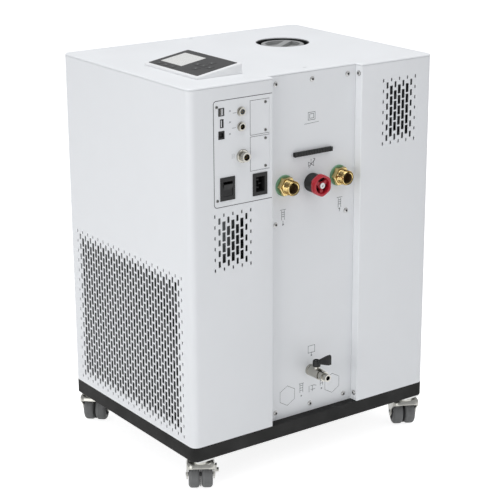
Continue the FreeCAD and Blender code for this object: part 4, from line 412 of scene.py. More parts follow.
arrow_head(marks, PANEL_X, (-18.0, 135.5), 2.4, -90)
strokes(marks, PANEL_X, (8.6, 145.2), ((-8, 5), (-8, -7)), ((-4, 5), (4, 5), (9, 3)),
        ((-4, -3), (6, -3)), ((0, 5), (0, -6)))
strokes(marks, PANEL_X, (30.4, 151.6), ((-3, 15), (-3, -6)), ((3, 15), (3, -6)),
        ((-3, 12), (3, 12)), ((-3, 7.5), (3, 7.5)), ((-3, 3), (3, 3)), ((-3, -2), (3, -2)))
arrow_head(marks, PANEL_X, (30.4, 139.0), 2.6, -90)
for place in ((-190.1, 712.0), (-190.0, 692.4), (-190.2, 672.1)):
    strokes(marks, SIDE_X, place, ((-1.8, -1.2), (1.8, 1.4)), ((-1.2, 1.4), (1.4, -1.2)),
            width=0.6)
for place in ((-180.0, 707.7), (-181.6, 681.4)):
    strokes(marks, SIDE_X, place, ((-3.5, 0), (3.5, 0)), width=0.7)
strokes(marks, SIDE_X, (-183.9, 631.5), ((-2, -4), (-2, 4)), ((2, -4), (2, 4)), width=0.5)
piece("panel_signs", marks, sign_ink, "cabinet")


# Seam shadows. Thin dark strips, flush with the coat, are painted shade in the joints round
# the socket plate, its two blanks and the hexagonal plugs.

# Painted shade: dark grey strips stand for the shadow in the seams.
seam_shadow_paint = surface("painted_seam_shadow", "#3c3d3e", 0.8, 0.4, 0.02, tone=0.06)
shadow_strips = bmesh.new()
PLATE_LOW, PLATE_TOP, PLATE_LEFT, PLATE_RIGHT = 543.75, 732.75, -224.25, -101.0
upper_corner = [(PLATE_LEFT + 5, PLATE_TOP), (PLATE_LEFT + 1.5, PLATE_TOP - 1.5),
                (PLATE_LEFT, PLATE_TOP - 5)]
lower_corner = [(PLATE_LEFT, PLATE_LOW + 5), (PLATE_LEFT + 1.5, PLATE_LOW + 1.5),
                (PLATE_LEFT + 5, PLATE_LOW)]
strokes(shadow_strips, SIDE_X, (0, 0), [
    (PLATE_RIGHT, PLATE_TOP), *upper_corner, *lower_corner, (PLATE_RIGHT, PLATE_LOW)], width=1.2)
BLANK_LEFT, BLANK_RIGHT, BLANK_HEIGHT = -147.2, -105.8, 61.4
for top in (724.7, 660.2):
    low = top - BLANK_HEIGHT
    strokes(shadow_strips, SIDE_X, (0, 0), (
        (BLANK_RIGHT, top), (BLANK_LEFT, top), (BLANK_LEFT, low), (BLANK_RIGHT, low)), width=0.6)
PLUG_CORNER = 19.8
plug_angles = [math.radians(30 + 60 * step) for step in range(7)]
plug_rim = [(PLUG_CORNER * math.cos(angle), PLUG_CORNER * math.sin(angle))
            for angle in plug_angles]
for y in (-51.0, 56.0):
    strokes(shadow_strips, PANEL_X, (y, 143.7), plug_rim, width=0.6)
piece("painted_seam_shadows", shadow_strips, seam_shadow_paint, "cabinet")


# Mains switch and appliance inlet. Snap-in devices moulded in black polyamide, satin with
# a fine spark-eroded grain. The inlet's three contacts are nickel-plated brass.

def box(bm, low, high, rounding=0.0, segments=2):
    """A block between two corners, with its edges rounded."""
    low, high = Vector(low), Vector(high)
    place = Matrix.Translation((low + high) / 2) @ Matrix.Diagonal((*(high - low), 1))
    corners = bmesh.ops.create_cube(bm, size=1.0, matrix=place)["verts"]
    if rounding:
        edges = list({edge for corner in corners for edge in corner.link_edges})
        bmesh.ops.bevel(bm, geom=edges, offset=rounding, offset_type="OFFSET", affect="EDGES",
                        segments=segments, profile=0.5, material=-1)


black_nylon = surface("black_polyamide", "#0e0f0f", 0.62, 0.5, 0.02, tone=0.1, patch_mm=20.0)
coat(black_nylon, "mains_switch_frame", "mains_switch_rocker", "power_inlet")
nickel = surface("nickel_plated_brass", "#b3b1aa", 0.2, 0.6, 0.006, metallic=1.0, tone=0.06,
                 patch_mm=10.0, turned_mm=0.7)
blades = bmesh.new()
for y, height in ((-129.0, 566.0), (-125.0, 573.0), (-129.0, 580.0)):
    box(blades, (199.4, y - 2.5, height - 1.0), (207.5, y + 2.5, height + 1.0), 0.35)
piece("inlet_contacts", blades, nickel, "cabinet")


# Data sockets. Black moulded shells snapped into the plate. The network socket has a pale
# insert with gold-plated contacts, and the host socket a pale tongue.

coat(black_nylon, "data_sockets")
pale_nylon = surface("pale_grey_polyamide", "#d6d8da", 0.42, 0.5, 0.01, tone=0.03)
LINER_BACK, LINER_START = 203.5, 203.6
LINER_FLOOR = 204.4
LINER_WALL = 0.3
NETWORK_HEIGHT = 712.5
CONTACT_PITCH = 1.02


def socket_liner(bm, y, height, half_y, half_z):
    """Thin walls and a back that line a socket's cavity."""
    box(bm, (LINER_BACK, y - half_y, height - half_z),
        (LINER_FLOOR, y + half_y, height + half_z))
    for side in (-1, 1):
        low, high = sorted((y + side * half_y, y + side * (half_y - LINER_WALL)))
        box(bm, (LINER_START, low, height - half_z), (SIDE_X, high, height + half_z))
        low, high = sorted((height + side * half_z, height + side * (half_z - LINER_WALL)))
        box(bm, (LINER_START, y - half_y, low), (SIDE_X, y + half_y, high))


inserts = bmesh.new()
socket_liner(inserts, -207.0, 692.4, 2.3, 6.1)
socket_liner(inserts, -208.0, 672.0, 4.2, 4.2)
box(inserts, (204.0, -209.6, 669.2), (213.2, -206.4, 674.8), 0.3)
piece("socket_inserts", inserts, black_nylon, "cabinet")
pale_inserts = bmesh.new()
socket_liner(pale_inserts, -208.0, NETWORK_HEIGHT, 3.5, 5.8)
box(pale_inserts, (LINER_FLOOR, -206.8, 707.0), (214.6, -204.8, 718.0), 0.2)
box(pale_inserts, (204.0, -209.2, 686.6), (216.2, -207.4, 698.2), 0.2)
piece("pale_socket_inserts", pale_inserts, pale_nylon, "cabinet")
gold = surface("gold_plated_contacts", "#d8b860", 0.25, 0.5, 0.004, metallic=1.0, tone=0.05)
contacts = bmesh.new()
for pin in range(8):
    height = NETWORK_HEIGHT + (pin - 3.5) * CONTACT_PITCH
    box(contacts, (LINER_FLOOR, -210.6, height - 0.25), (212.5, -209.9, height + 0.25), 0.1)
piece("network_contacts", contacts, gold, "cabinet")


# Round signal sockets and the field connector. Turned, nickel-plated brass shells with
# moulded inserts that carry the pins. The upper signal socket's insert is blue-grey.

coat(nickel, "round_sockets", "field_connector")
blue_nylon = surface("blue_grey_polyamide", "#55647a", 0.45, 0.5, 0.01, tone=0.06)
for name, material, x, y, height, radius, depth in (
        ("upper_signal_insert", blue_nylon, 212.0, -166.5, 708.7, 4.7, 5.0),
        ("lower_signal_insert", black_nylon, 212.0, -166.5, 682.1, 4.7, 3.0),
        ("field_insert", black_nylon, 217.2, -164.5, 629.2, 5.8, 6.5)):
    insert = bmesh.new()
    turned(insert, [(0, 0), (0, radius), (depth, radius), (depth, radius - 0.6),
                    (depth - 0.8, radius - 1.0), (depth - 0.8, 0)], aimed((x, y, height)), 32)
    piece(name, insert, material, "cabinet")
    pins = bmesh.new()
    for pin in range(5):
        angle = pin * 2 * math.pi / 5
        reach = radius * 0.5
        spot = (x + depth - 1.0, y + reach * math.cos(angle), height + reach * math.sin(angle))
        turned(pins, [(0, 0), (0, 0.5), (2.0, 0.5), (2.3, 0.3), (2.3, 0)], aimed(spot), 10)
    piece(name.replace("insert", "pins"), pins, gold, "cabinet")


# Console. A white ABS wedge, moulded with a fine matt grain, with a printed polyester film
# over the keys and a clear pane over the display, both let in flush and glued.

CONSOLE_CORNER = Vector((-16.0, -218.0, 764.5))
SLOPE = math.atan2(15.0, 97.0)
DESK = Matrix.Translation(CONSOLE_CORNER) @ Matrix.Rotation(SLOPE, 4, "X")
FILM_LOW, FILM_TOP = -0.7, 0.3
FILM_LEFT, FILM_NEAR, FILM_WIDTH = 6.5, 5.5, 159.0
FILM_LENGTH = 97.0 / math.cos(SLOPE) - 11.0
WINDOW_U, WINDOW_V, WINDOW_WIDTH, WINDOW_LENGTH = 46.0, 46.5, 68.3, 54.3
KEY_RISE = 0.35
ARROW_KEYS = (118.0, 42.0)
ARROW_STEPS = ((0, 17), (0, -17), (-19, 0), (19, 0))
LOWER_KEYS, LOWER_ROW = (24.0, 46.0, 68.0), 9.0
white_abs = surface("white_abs", "#e9eaeb", 0.5, 0.6, 0.012, tone=0.008)
coat(white_abs, "console_housing")


def on_desk(bm, before):
    """Tilts what was added since then onto the console's sloping face."""
    bmesh.ops.transform(bm, matrix=DESK, verts=list(set(bm.verts) - before))


def on_film(bm, u, v, width, length, low, top, rounding=0.0):
    """A block centred on a place of the film, between two heights."""
    box(bm, (FILM_LEFT + u - width / 2, FILM_NEAR + v - length / 2, low),
        (FILM_LEFT + u + width / 2, FILM_NEAR + v + length / 2, top), rounding)


def key_pad(bm, u, v, width, length):
    """An embossed key in the film."""
    on_film(bm, u, v, width, length, FILM_LOW + 0.2, FILM_TOP + KEY_RISE, 0.3)


film_grey = surface("printed_polyester_film", "#363636", 0.46, 0.7, 0.008, tone=0.03)
film = bmesh.new()
outline = blank(film, FILM_LEFT + FILM_WIDTH / 2, FILM_NEAR + FILM_LENGTH / 2,
                FILM_WIDTH, FILM_LENGTH)
bmesh.ops.bevel(film, geom=outline, offset=3.0, offset_type="OFFSET", affect="VERTICES",
                segments=5, profile=0.5, material=-1)
blank(film, FILM_LEFT + WINDOW_U, FILM_NEAR + WINDOW_V, WINDOW_WIDTH, WINDOW_LENGTH)
bmesh.ops.delete(film, geom=film.faces[:], context="FACES_ONLY")
bmesh.ops.triangle_fill(film, use_beauty=True, use_dissolve=False, edges=film.edges[:])
bmesh.ops.solidify(film, geom=film.faces[:], thickness=FILM_TOP - FILM_LOW)
lowest = min(vertex.co.z for vertex in film.verts)
bmesh.ops.translate(film, verts=film.verts, vec=(0, 0, FILM_LOW - lowest))
for du, dv in ARROW_STEPS + ((0, 0),):
    key_pad(film, ARROW_KEYS[0] + du, ARROW_KEYS[1] + dv, 15, 12)
for u in LOWER_KEYS:
    key_pad(film, u, LOWER_ROW, 15, 9)
on_desk(film, set())
piece("keypad_film", film, film_grey, "cabinet", ["keypad_overlay"])

prints = bmesh.new()
key_top = FILM_TOP + KEY_RISE
for (du, dv), angle in zip(ARROW_STEPS, (90, -90, 180, 0)):
    centre = Matrix.Translation((FILM_LEFT + ARROW_KEYS[0] + du, FILM_NEAR + ARROW_KEYS[1] + dv,
                                 key_top + INK_THICK / 2))
    bmesh.ops.create_cone(
        prints, cap_ends=True, segments=3, radius1=2.6, radius2=2.6, depth=INK_THICK,
        matrix=centre @ Matrix.Rotation(math.radians(angle - 90), 4, "Z"))
on_film(prints, *ARROW_KEYS, 5, 1.0, key_top, key_top + INK_THICK)
for u in LOWER_KEYS:
    on_film(prints, u, LOWER_ROW, 4, 0.9, key_top, key_top + INK_THICK)
on_desk(prints, set())
ink_light = surface("printed_light_ink", "#808282", 0.5, 0.5, 0.004, tone=0.03)
piece("key_signs", prints, ink_light, "cabinet")

# The display is switched off: a pale reflective panel, a faint pixel grid and a dark
# border under a hard clear pane. The real pixels are 0.1 mm, drawn here at 0.8 mm.
pane = bpy.data.materials.new("display_pane")
pane.use_nodes = True
tree = pane.node_tree
tree.nodes.clear()
place = add(tree, "TexCoord").outputs["Object"]
level = add(tree, "Mapping", {"Vector": place, "Rotation": (-SLOPE, 0, 0)})
pixels = add(tree, "TexBrick", {
    "Vector": level.outputs["Vector"], "Scale": 1.0, "Brick Width": 0.0008,
    "Row Height": 0.0008, "Mortar Size": 0.00006, "Color1": linear("#efefec"),
    "Color2": linear("#eaeae6"), "Mortar": linear("#cfcfca")}, offset=0.0)
pale = add(tree, "BsdfPrincipled", {
    "Base Color": pixels.outputs["Color"], "Roughness": 0.3, "Coat Weight": 1.0,
    "Coat Roughness": 0.05})
add(tree, "OutputMaterial", {"Surface": pale.outputs["BSDF"]})
coat(pane, "display_window")


# Filling point. A black polypropylene well under the lid catches spills, and a mid-grey
# cap with two finger hollows pushes into its neck.

black_pp = surface("black_polypropylene", "#191a1b", 0.38, 0.7, 0.01, tone=0.08)
grey_pp = surface("grey_polypropylene", "#979898", 0.45, 0.7, 0.015, tone=0.05, patch_mm=15.0)
coat(black_pp, "filler_well")
coat(grey_pp, "filler_cap")


# Hose connections. Turned from free-cutting brass: hexagon, shoulder and a G 3/4 thread
# that is really cut, on a pale green nitrile ring that seals against the panel.

PORT_Z = 555.0
HEX_START = PANEL_X + 3.0
THREAD_START = HEX_START + 10.0
MOUTH_X = THREAD_START + 17.0
THREAD_PITCH = 1.814
THREAD_DEPTH = 1.1


def hexagon(bm, where, flats, length, chamfer):
    """A hexagonal nut along the frame's X axis, with its rims chamfered."""
    corner = flats / math.sqrt(3)
    bmesh.ops.create_cone(
        bm, cap_ends=True, segments=6, radius1=corner, radius2=corner, depth=length,
        matrix=where @ Matrix.Translation((length / 2, 0, 0)) @ Matrix.Rotation(QUARTER, 4, "Y"))
    # Every edge across the axis is chamfered.
    ends = [e for e in bm.edges if abs((where.inverted() @ e.verts[0].co).x
                                       - (where.inverted() @ e.verts[1].co).x) < 0.01]
    bmesh.ops.bevel(bm, geom=ends, offset=chamfer, offset_type="OFFSET", affect="EDGES",
                    segments=1, profile=0.5, material=-1)


brass = surface("turned_brass", "#cdb67e", 0.2, 0.9, 0.006, metallic=1.0, tone=0.06,
                patch_mm=14.0, turned_mm=0.6)
# Inside the bore the brass is painted dark brown as shade.
bore_shade_brass = surface("brass_with_painted_bore_shade", "#5a4630", 0.55, 0.9, 0.01, metallic=0.4, tone=0.1)
for name, y, node in (("return", -59.5, "return_fitting"), ("supply", 64.5, "supply_fitting")):
    fitting = bmesh.new()
    back = PANEL_X - SHEET - 10.0
    thread = [(THREAD_START + 2.4 + step * THREAD_PITCH / 6, 13.2) for step in range(43)]
    outside = [(back, 9.5), (back, 13.0), (HEX_START, 13.0), (THREAD_START, 13.0),
               (THREAD_START + 0.4, 12.0), (THREAD_START + 2.3, 12.0)]
    outside += [p for p in thread if p[0] < MOUTH_X - 1.2]
    outside += [(MOUTH_X - 1.1, 13.0), (MOUTH_X, 12.0), (MOUTH_X, 10.3), (MOUTH_X - 0.8, 9.5),
                (back, 9.5)]
    where = aimed((0, y, PORT_Z))
    turned(fitting, outside, where, 60)
    for vertex in fitting.verts:
        reach = Vector((0, vertex.co.y - y, vertex.co.z - PORT_Z))
        if vertex.co.x > THREAD_START + 2.4 and reach.length > 12.9:
            turn = math.atan2(reach.z, reach.y) / (2 * math.pi)
            phase = ((vertex.co.x - THREAD_START) / THREAD_PITCH + turn) % 1.0
            cut = abs(2 * phase - 1) * THREAD_DEPTH
            grown = reach * ((13.15 - cut) / reach.length)
            vertex.co = (vertex.co.x, y + grown.y, PORT_Z + grown.z)
    # Faces inside the bore take the painted shade.
    for face in fitting.faces:
        middle = face.calc_center_median()
        if math.hypot(middle.y - y, middle.z - PORT_Z) < 9.8 and middle.x < MOUTH_X - 1.0:
            face.material_index = 1
    hexagon(fitting, aimed((HEX_START, y, PORT_Z)), 32.0, 10.0, 1.2)
    made = piece(name + "_connection", fitting, brass, "cabinet", [node])
    made.data.materials.append(bore_shade_brass)
green_rubber = surface("green_nitrile", "#6f9a7a", 0.55, 0.8, 0.01, tone=0.06)
coat(green_rubber, "seal_rings")


# Bypass valve. A black glass-filled bonnet with fine flutes, and a red moulded handwheel
# of six lobes on its stem, held by a plated screw.

BYPASS = (PANEL_X, RECESS_MID, 551.5)
FLUTES = 44
bonnet = bmesh.new()
turned(bonnet, [(-15.5, 0), (-15.5, 8.75), (0, 8.75), (0, 17.0), (0.8, 17.5), (19, 17.5),
                (22.0, 16.0), (22.0, 4.0), (29.5, 4.0), (30.0, 3.5), (30.0, 0)],
       aimed(BYPASS), 2 * FLUTES)
for vertex in bonnet.verts:
    reach = Vector((0, vertex.co.y - BYPASS[1], vertex.co.z - BYPASS[2]))
    if reach.length > 17.2:
        step = round(math.atan2(reach.z, reach.y) / (math.pi / FLUTES))
        if step % 2:
            grown = reach * (16.7 / reach.length)
            vertex.co = (vertex.co.x, BYPASS[1] + grown.y, BYPASS[2] + grown.z)
glass_nylon = surface("glass_filled_polyamide", "#252627", 0.5, 0.5, 0.02, tone=0.1)
piece("bypass_bonnet_fluted", bonnet, glass_nylon, "cabinet",
      ["bypass_bonnet"], sharp=50)
red_nylon = surface("red_polyamide", "#b01f2e", 0.33, 0.6, 0.012, tone=0.07, patch_mm=12.0)
WHEEL_START = BYPASS[0] + 22.5
wheel = bmesh.new()
hub_frame = aimed((WHEEL_START, *BYPASS[1:]))
turned(wheel, [(0.8, 14.5), (0, 15.4), (0, 18.2), (1.0, 19.4), (2.4, 19.9), (9.6, 19.9),
               (11.2, 19.3), (12.0, 18.0), (12.0, 16.0), (11.2, 15.0), (8.0, 14.5), (0.8, 14.5)],
       hub_frame, 96)
for vertex in wheel.verts:
    reach = Vector((0, vertex.co.y - BYPASS[1], vertex.co.z - BYPASS[2]))
    if reach.length > 17.0:
        grown = reach * (1 - 0.035 * math.cos(6 * math.atan2(reach.z, reach.y)))
        vertex.co = (vertex.co.x, BYPASS[1] + grown.y, BYPASS[2] + grown.z)
turned(wheel, [(0, 4.1), (0, 7.4), (7.4, 7.4), (8.0, 6.8), (8.0, 4.1), (0, 4.1)], hub_frame, 40)
for spoke in range(3):
    before = set(wheel.verts)
    box(wheel, (1.4, 6.8, -3.8), (7.6, 15.2, 3.8), 1.0)
    turn = Matrix.Rotation(math.radians(30 + 120 * spoke), 4, "X")
    bmesh.ops.transform(wheel, matrix=hub_frame @ turn, verts=list(set(wheel.verts) - before))
piece("handwheel_moulding", wheel, red_nylon, "bypass_handwheel",
      ["bypass_handwheel"])
coat(zinc_plate, "handwheel_screw", "lever_nut")


# Drain valve. Nickel-plated brass ball valve with a hose nozzle, and a wing lever
# moulded in black polyamide.

coat(nickel, "drain_valve")
coat(black_nylon, "panel_grip")
LEVER_BASE = Vector((217.0, RECESS_MID, 197.4))
lever = bmesh.new()
turned(lever, [(0, 2.6), (0, 7.0), (0.5, 7.5), (10.5, 7.5), (12.0, 6.3), (12.0, 4.8), (7.0, 4.8),
               (7.0, 2.6), (0, 2.6)], aimed(LEVER_BASE, (0, 0, 1)), 40)
BLADE_HALF = 4.0
side_view = [(5.4, 1.5), (7.6, 7.0), (40.0, 14.6), (40.0, 30.6), (38.8, 32.8), (36.0, 33.6),
             (5.4, 13.6)]
face = lever.faces.new([
    lever.verts.new(LEVER_BASE + Vector((x, -BLADE_HALF, z))) for x, z in side_view])
blade = bmesh.ops.extrude_face_region(lever, geom=[face])["geom"]
far_side = [v for v in blade if isinstance(v, bmesh.types.BMVert)]
bmesh.ops.translate(lever, verts=far_side, vec=(0, 2 * BLADE_HALF, 0))


def on_blade_rim(edge):
    """Whether an edge runs round one of the blade's flat faces, clear of the collar."""
    first, second = (vertex.co - LEVER_BASE for vertex in edge.verts)
    flat = all(abs(abs(spot.y) - BLADE_HALF) < 1e-4 for spot in (first, second))
    clear = min(first.x, second.x) > 5.0 and edge.calc_length() > 1.0
    return flat and clear and first.y * second.y > 0


bmesh.ops.bevel(lever, geom=[edge for edge in lever.edges if on_blade_rim(edge)], offset=1.0,
                offset_type="OFFSET", affect="EDGES", segments=2, profile=0.5, material=-1)
piece("lever_moulding", lever, black_nylon, "drain_lever", ["drain_lever"])


# Castors. Twin-wheel castors: a satin die-cast zinc hood that swivels under a plated
# plate, and two nylon wheels with grey thermoplastic tyres. The front pair has brakes.
# Each is drawn with its pin at the origin, its nose along X and its axle behind the pin.

CASTORS = {"front_right": (194.0, -247.5, 147.0), "front_left": (-194.0, -247.5, 136.0),
           "rear_right": (194.0, 247.5, 152.0), "rear_left": (-194.0, 247.5, 142.0)}
AXLE_X = -24.0
WHEEL_RADIUS = 25.0
WHEEL_WIDTH = 21.0
WHEEL_GAP = 1.4
HOOD_HALF = 26.0
HOOD_WALL = 2.2
HOOD_CREST = 64.5
ARCH_RADIUS = 29.0
ARCH_TOP = WHEEL_RADIUS + ARCH_RADIUS
LEG_RADIUS = 9.0
NOSE_BEND_START = 5.0
NOSE_BEND = 11.0
HEEL_BEND_START = -43.4
HEEL_BEND = 9.0
SHOULDER_BEND = 8.0
BEND_STEPS = 5
cast_zinc = surface("satin_die_cast_zinc", "#aeada7", 0.3, 1.2, 0.015, metallic=1.0, tone=0.05,
                    patch_mm=18.0)
tyre_grey = surface("grey_thermoplastic_rubber", "#707171", 0.62, 0.9, 0.03, tone=0.07,
                    patch_mm=12.0)
hub_grey = surface("grey_polyamide_hub", "#5c5d5e", 0.45, 0.6, 0.015, tone=0.06)
coat(cast_zinc, "brake_pedal_front_right", "brake_pedal_front_left")
coat(zinc_plate, "castor_plates", *["castor_axle_" + corner for corner in CASTORS])


def hood_low(x):
    """Height of the hood's lower edge: back skirt, round leg at the axle, then up to the nose."""
    if abs(x - AXLE_X) <= LEG_RADIUS:
        return WHEEL_RADIUS - math.sqrt(LEG_RADIUS ** 2 - (x - AXLE_X) ** 2)
    edge = [(-53.0, 33.0), (-38.0, 33.0), (-33.0, 25.0), (-15.0, 25.0), (-10.0, 35.0),
            (5.0, 48.0), (16.0, 53.0)]
    for (x0, z0), (x1, z1) in zip(edge, edge[1:]):
        if x <= x1:
            return z0 + (z1 - z0) * (x - x0) / (x1 - x0)
    return edge[-1][1]


def quarter_arc(radius, steps=BEND_STEPS):
    """Places round a quarter circle, from its first axis to its second."""
    return [(radius * math.cos(step * QUARTER / steps), radius * math.sin(step * QUARTER / steps))
            for step in range(steps + 1)]


def hood_section(x, nose_angle, wall):
    """One rounded arch of the shell at a depth in its wall, as places in the castor's frame."""
    low = hood_low(x)
    if nose_angle:
        bend = NOSE_BEND - wall
        shrink = NOSE_BEND - bend * math.cos(nose_angle)
        place = NOSE_BEND_START + bend * math.sin(nose_angle)
        half, top = HOOD_HALF - shrink, HOOD_CREST - shrink
    elif x < AXLE_X:
        lean = math.asin((AXLE_X - x) / ARCH_RADIUS)
        place = AXLE_X - (ARCH_RADIUS - wall) * math.sin(lean)
        top = WHEEL_RADIUS + (ARCH_RADIUS - wall) * math.cos(lean)
        inset = max(0.0, HEEL_BEND_START - x)
        half = HOOD_HALF - wall - (HEEL_BEND - math.sqrt(HEEL_BEND ** 2 - inset ** 2))
    else:
        rise = min(1.0, (x - AXLE_X) / 11.0) * (HOOD_CREST - ARCH_TOP)
        place, half, top = x, HOOD_HALF - wall, ARCH_TOP + rise - wall
    top = max(top, low + 0.02)
    bend = min(SHOULDER_BEND - wall, top - low - 0.01, half - 0.5)
    arch = [(half, low)] + [(half - bend + y, top - bend + z) for y, z in quarter_arc(bend)]
    ring = [(-y, z) for y, z in arch] + [(y, z) for y, z in reversed(arch)]
    return [Vector((place, y, z)) for y, z in ring]


def castor_hood(bm, castor):
    """The hood's thin shell with its legs, the web at the axle and the swivel neck."""
    stations = [(x, 0.0) for x in (
        -52.3, -51.0, -48.5, -45.0, -41.5, -38.0, -35.5, -33.0, -32.4, -31.0, -28.5, -25.5,
        -24.0, -21.0, -18.0, -16.2, -15.0, -13.0, -10.0, -5.0, 0.0, NOSE_BEND_START)]
    for step in range(1, BEND_STEPS + 1):
        angle = step * QUARTER / BEND_STEPS
        stations.append((NOSE_BEND_START + NOSE_BEND * math.sin(angle), angle))
    skins = [[[bm.verts.new(castor @ spot) for spot in hood_section(x, nose_angle, wall)]
              for x, nose_angle in stations] for wall in (0.0, HOOD_WALL)]
    outer, inner = skins
    for skin in skins:
        for near, far in zip(skin, skin[1:]):
            for j in range(len(near) - 1):
                bm.faces.new((near[j], near[j + 1], far[j + 1], far[j]))
    for j in (0, -1):
        for near, far, inside_near, inside_far in zip(outer, outer[1:], inner, inner[1:]):
            bm.faces.new((near[j], far[j], inside_far[j], inside_near[j]))
    for rim, inside in ((outer[0], inner[0]), (outer[-1], inner[-1])):
        for j in range(len(rim) - 1):
            bm.faces.new((rim[j], rim[j + 1], inside[j + 1], inside[j]))
    before = set(bm.verts)
    box(bm, (-33.0, -0.5, 17.0), (-15.0, 0.5, 52.0), 0.2)
    bmesh.ops.transform(bm, matrix=castor, verts=list(set(bm.verts) - before))
    turned(bm, [(0, 0), (0, 15.0), (3.6, 15.0), (3.6, 0)],
           castor @ Matrix.Translation((0, 0, 62.0)) @ Matrix.Rotation(-QUARTER, 4, "Y"), 32)


TYRE_BEND = 6.5
HUB_RADIUS = 17.5
shoulder = [(TYRE_BEND - x, WHEEL_RADIUS - TYRE_BEND + radius)
            for x, radius in quarter_arc(TYRE_BEND, 6)]
groove = [(8.0, WHEEL_RADIUS), (8.3, WHEEL_RADIUS - 0.3), (8.6, WHEEL_RADIUS)]
half_tyre = [(0.4, HUB_RADIUS)] + shoulder + groove
tyre_profile = half_tyre + [(WHEEL_WIDTH - x, radius) for x, radius in reversed(half_tyre)]
tyre_profile.append(tyre_profile[0])
hub_profile = [(0.5, 4.05), (0.5, HUB_RADIUS), (20.5, HUB_RADIUS), (20.5, 15.5), (17.0, 14.5),
               (17.0, 7.0), (20.3, 6.5), (20.3, 4.05), (0.5, 4.05)]
# A disc nearly as wide as the wheels, painting the gap between them dark as shade.
gap_shade_profile = [(-0.8, 4.05), (-0.8, 22.6), (-0.5, 23.0), (0.5, 23.0), (0.8, 22.6),
                  (0.8, 4.05), (-0.8, 4.05)]
castor_frames = {
    corner: Matrix.Translation((x, y, 0)) @ Matrix.Rotation(math.radians(heading + 180), 4, "Z")
    for corner, (x, y, heading) in CASTORS.items()}
for corner, castor in castor_frames.items():
    hood = bmesh.new()
    castor_hood(hood, castor)
    if corner.startswith("front"):
        # The pin that carries the brake pedal.
        turned(hood, [(0, 0), (0, 1.9), (6.4, 1.9), (6.6, 1.6), (6.6, 0)],
               castor @ aimed((-30.0, 24.0, 40.0), (0, 1, 0)), 20)
    piece("hood_" + corner, hood, cast_zinc, "castor_" + corner,
          ["castor_hood_" + corner], sharp=40)
for corner, castor in castor_frames.items():
    # A black disc keeps the two wheels apart; it is painted shade that fills the gap between them
    # with dark.
    gap_shade_disc = bmesh.new()
    turned(gap_shade_disc, gap_shade_profile, castor @ aimed((AXLE_X, 0, WHEEL_RADIUS), (0, 1, 0)), 48)
    piece("gap_shade_disc_" + corner, gap_shade_disc, black_nylon, "castor_" + corner)
    for side_name, side in (("inner", -1), ("outer", 1)):
        node = "castor_wheel_" + corner + "_" + side_name
        axle = castor @ aimed((AXLE_X, side * WHEEL_GAP, WHEEL_RADIUS), (0, side, 0))
        tyre = bmesh.new()
        turned(tyre, tyre_profile, axle, 56)
        piece("tyre_" + corner + "_" + side_name, tyre, tyre_grey, node, [node])
        hub = bmesh.new()
        turned(hub, hub_profile, axle, 40)
        for spoke in range(6):
            before = set(hub.verts)
            box(hub, (16.5, 6.6, -0.9), (19.7, 15.0, 0.9))
            turn = Matrix.Rotation(spoke * math.pi / 3, 4, "X")
            bmesh.ops.transform(hub, matrix=axle @ turn, verts=list(set(hub.verts) - before))
        piece("hub_" + corner + "_" + side_name, hub, hub_grey, node)


# Condenser. Black-coated aluminium fins pressed onto copper tubes, between two plated end
# sheets. The real fins stand 1.8 mm apart, and here twice that.

CONDENSER_LOW = Vector((-185.0, -270.5, 100.2))
CONDENSER_HIGH = Vector((185.0, -249.5, 400.2))
FIN_PITCH = 3.7
FIN_THICK = 0.4
END_THICK = 1.2
TUBE_PITCH = 25.0
black_fins = surface("black_coated_aluminium", "#1d1e1f", 0.5, 0.8, 0.01, tone=0.08)
copper = surface("drawn_copper", "#b87a58", 0.3, 0.8, 0.008, metallic=1.0, tone=0.1)
fins = bmesh.new()
for index in range(1, 100):
    x = CONDENSER_LOW.x + index * FIN_PITCH
    box(fins, (x - FIN_THICK / 2, CONDENSER_LOW.y + 0.5, CONDENSER_LOW.z + 1),
        (x + FIN_THICK / 2, CONDENSER_HIGH.y - 0.5, CONDENSER_HIGH.z - 1))
piece("condenser_fins", fins, black_fins, "cabinet", ["condenser"])
tubes = bmesh.new()
for row in range(12):
    height = CONDENSER_LOW.z + (row + 0.5) * TUBE_PITCH
    turned(tubes, [(0, 0), (0, 4.8), (368, 4.8), (368, 0)],
           aimed((CONDENSER_LOW.x + 1, -260.0, height)), 12)
piece("condenser_tubes", tubes, copper, "cabinet")
galvanised = surface("galvanised_steel", "#767a7c", 0.48, 6.0, 0.01, metallic=1.0, tone=0.12,
                     patch_mm=9.0)
ends = bmesh.new()
for x in (CONDENSER_LOW.x, CONDENSER_HIGH.x - END_THICK):
    box(ends, (x, CONDENSER_LOW.y, CONDENSER_LOW.z),
        (x + END_THICK, CONDENSER_HIGH.y, CONDENSER_HIGH.z))
piece("condenser_end_sheets", ends, galvanised, "cabinet")


# The rest of the inside. Galvanised frame and control box, black shroud and compressor,
# stainless bath and plate exchanger, brass pump and copper pipes.

stainless = surface("brushed_stainless_steel", "#b4b5b3", 0.34, 1.6, 0.01, metallic=1.0,
                    tone=0.04, brushed=(1.0, 1.0, 0.05))
coat(galvanised, "inner_frame", "control_box")
coat(black_coat, "fan_shroud", "compressor")
coat(black_nylon, "fan_rotor")
coat(stainless, "reservoir_tank", "heat_exchanger", "fan_motor")
coat(brass, "circulation_pump")
coat(copper, "port_pipes")


# Photographer's set. A pale floor that shows as white paper round the object's shadow,
# two soft boxes and a pale surround, and the lens at the photograph's viewpoint.

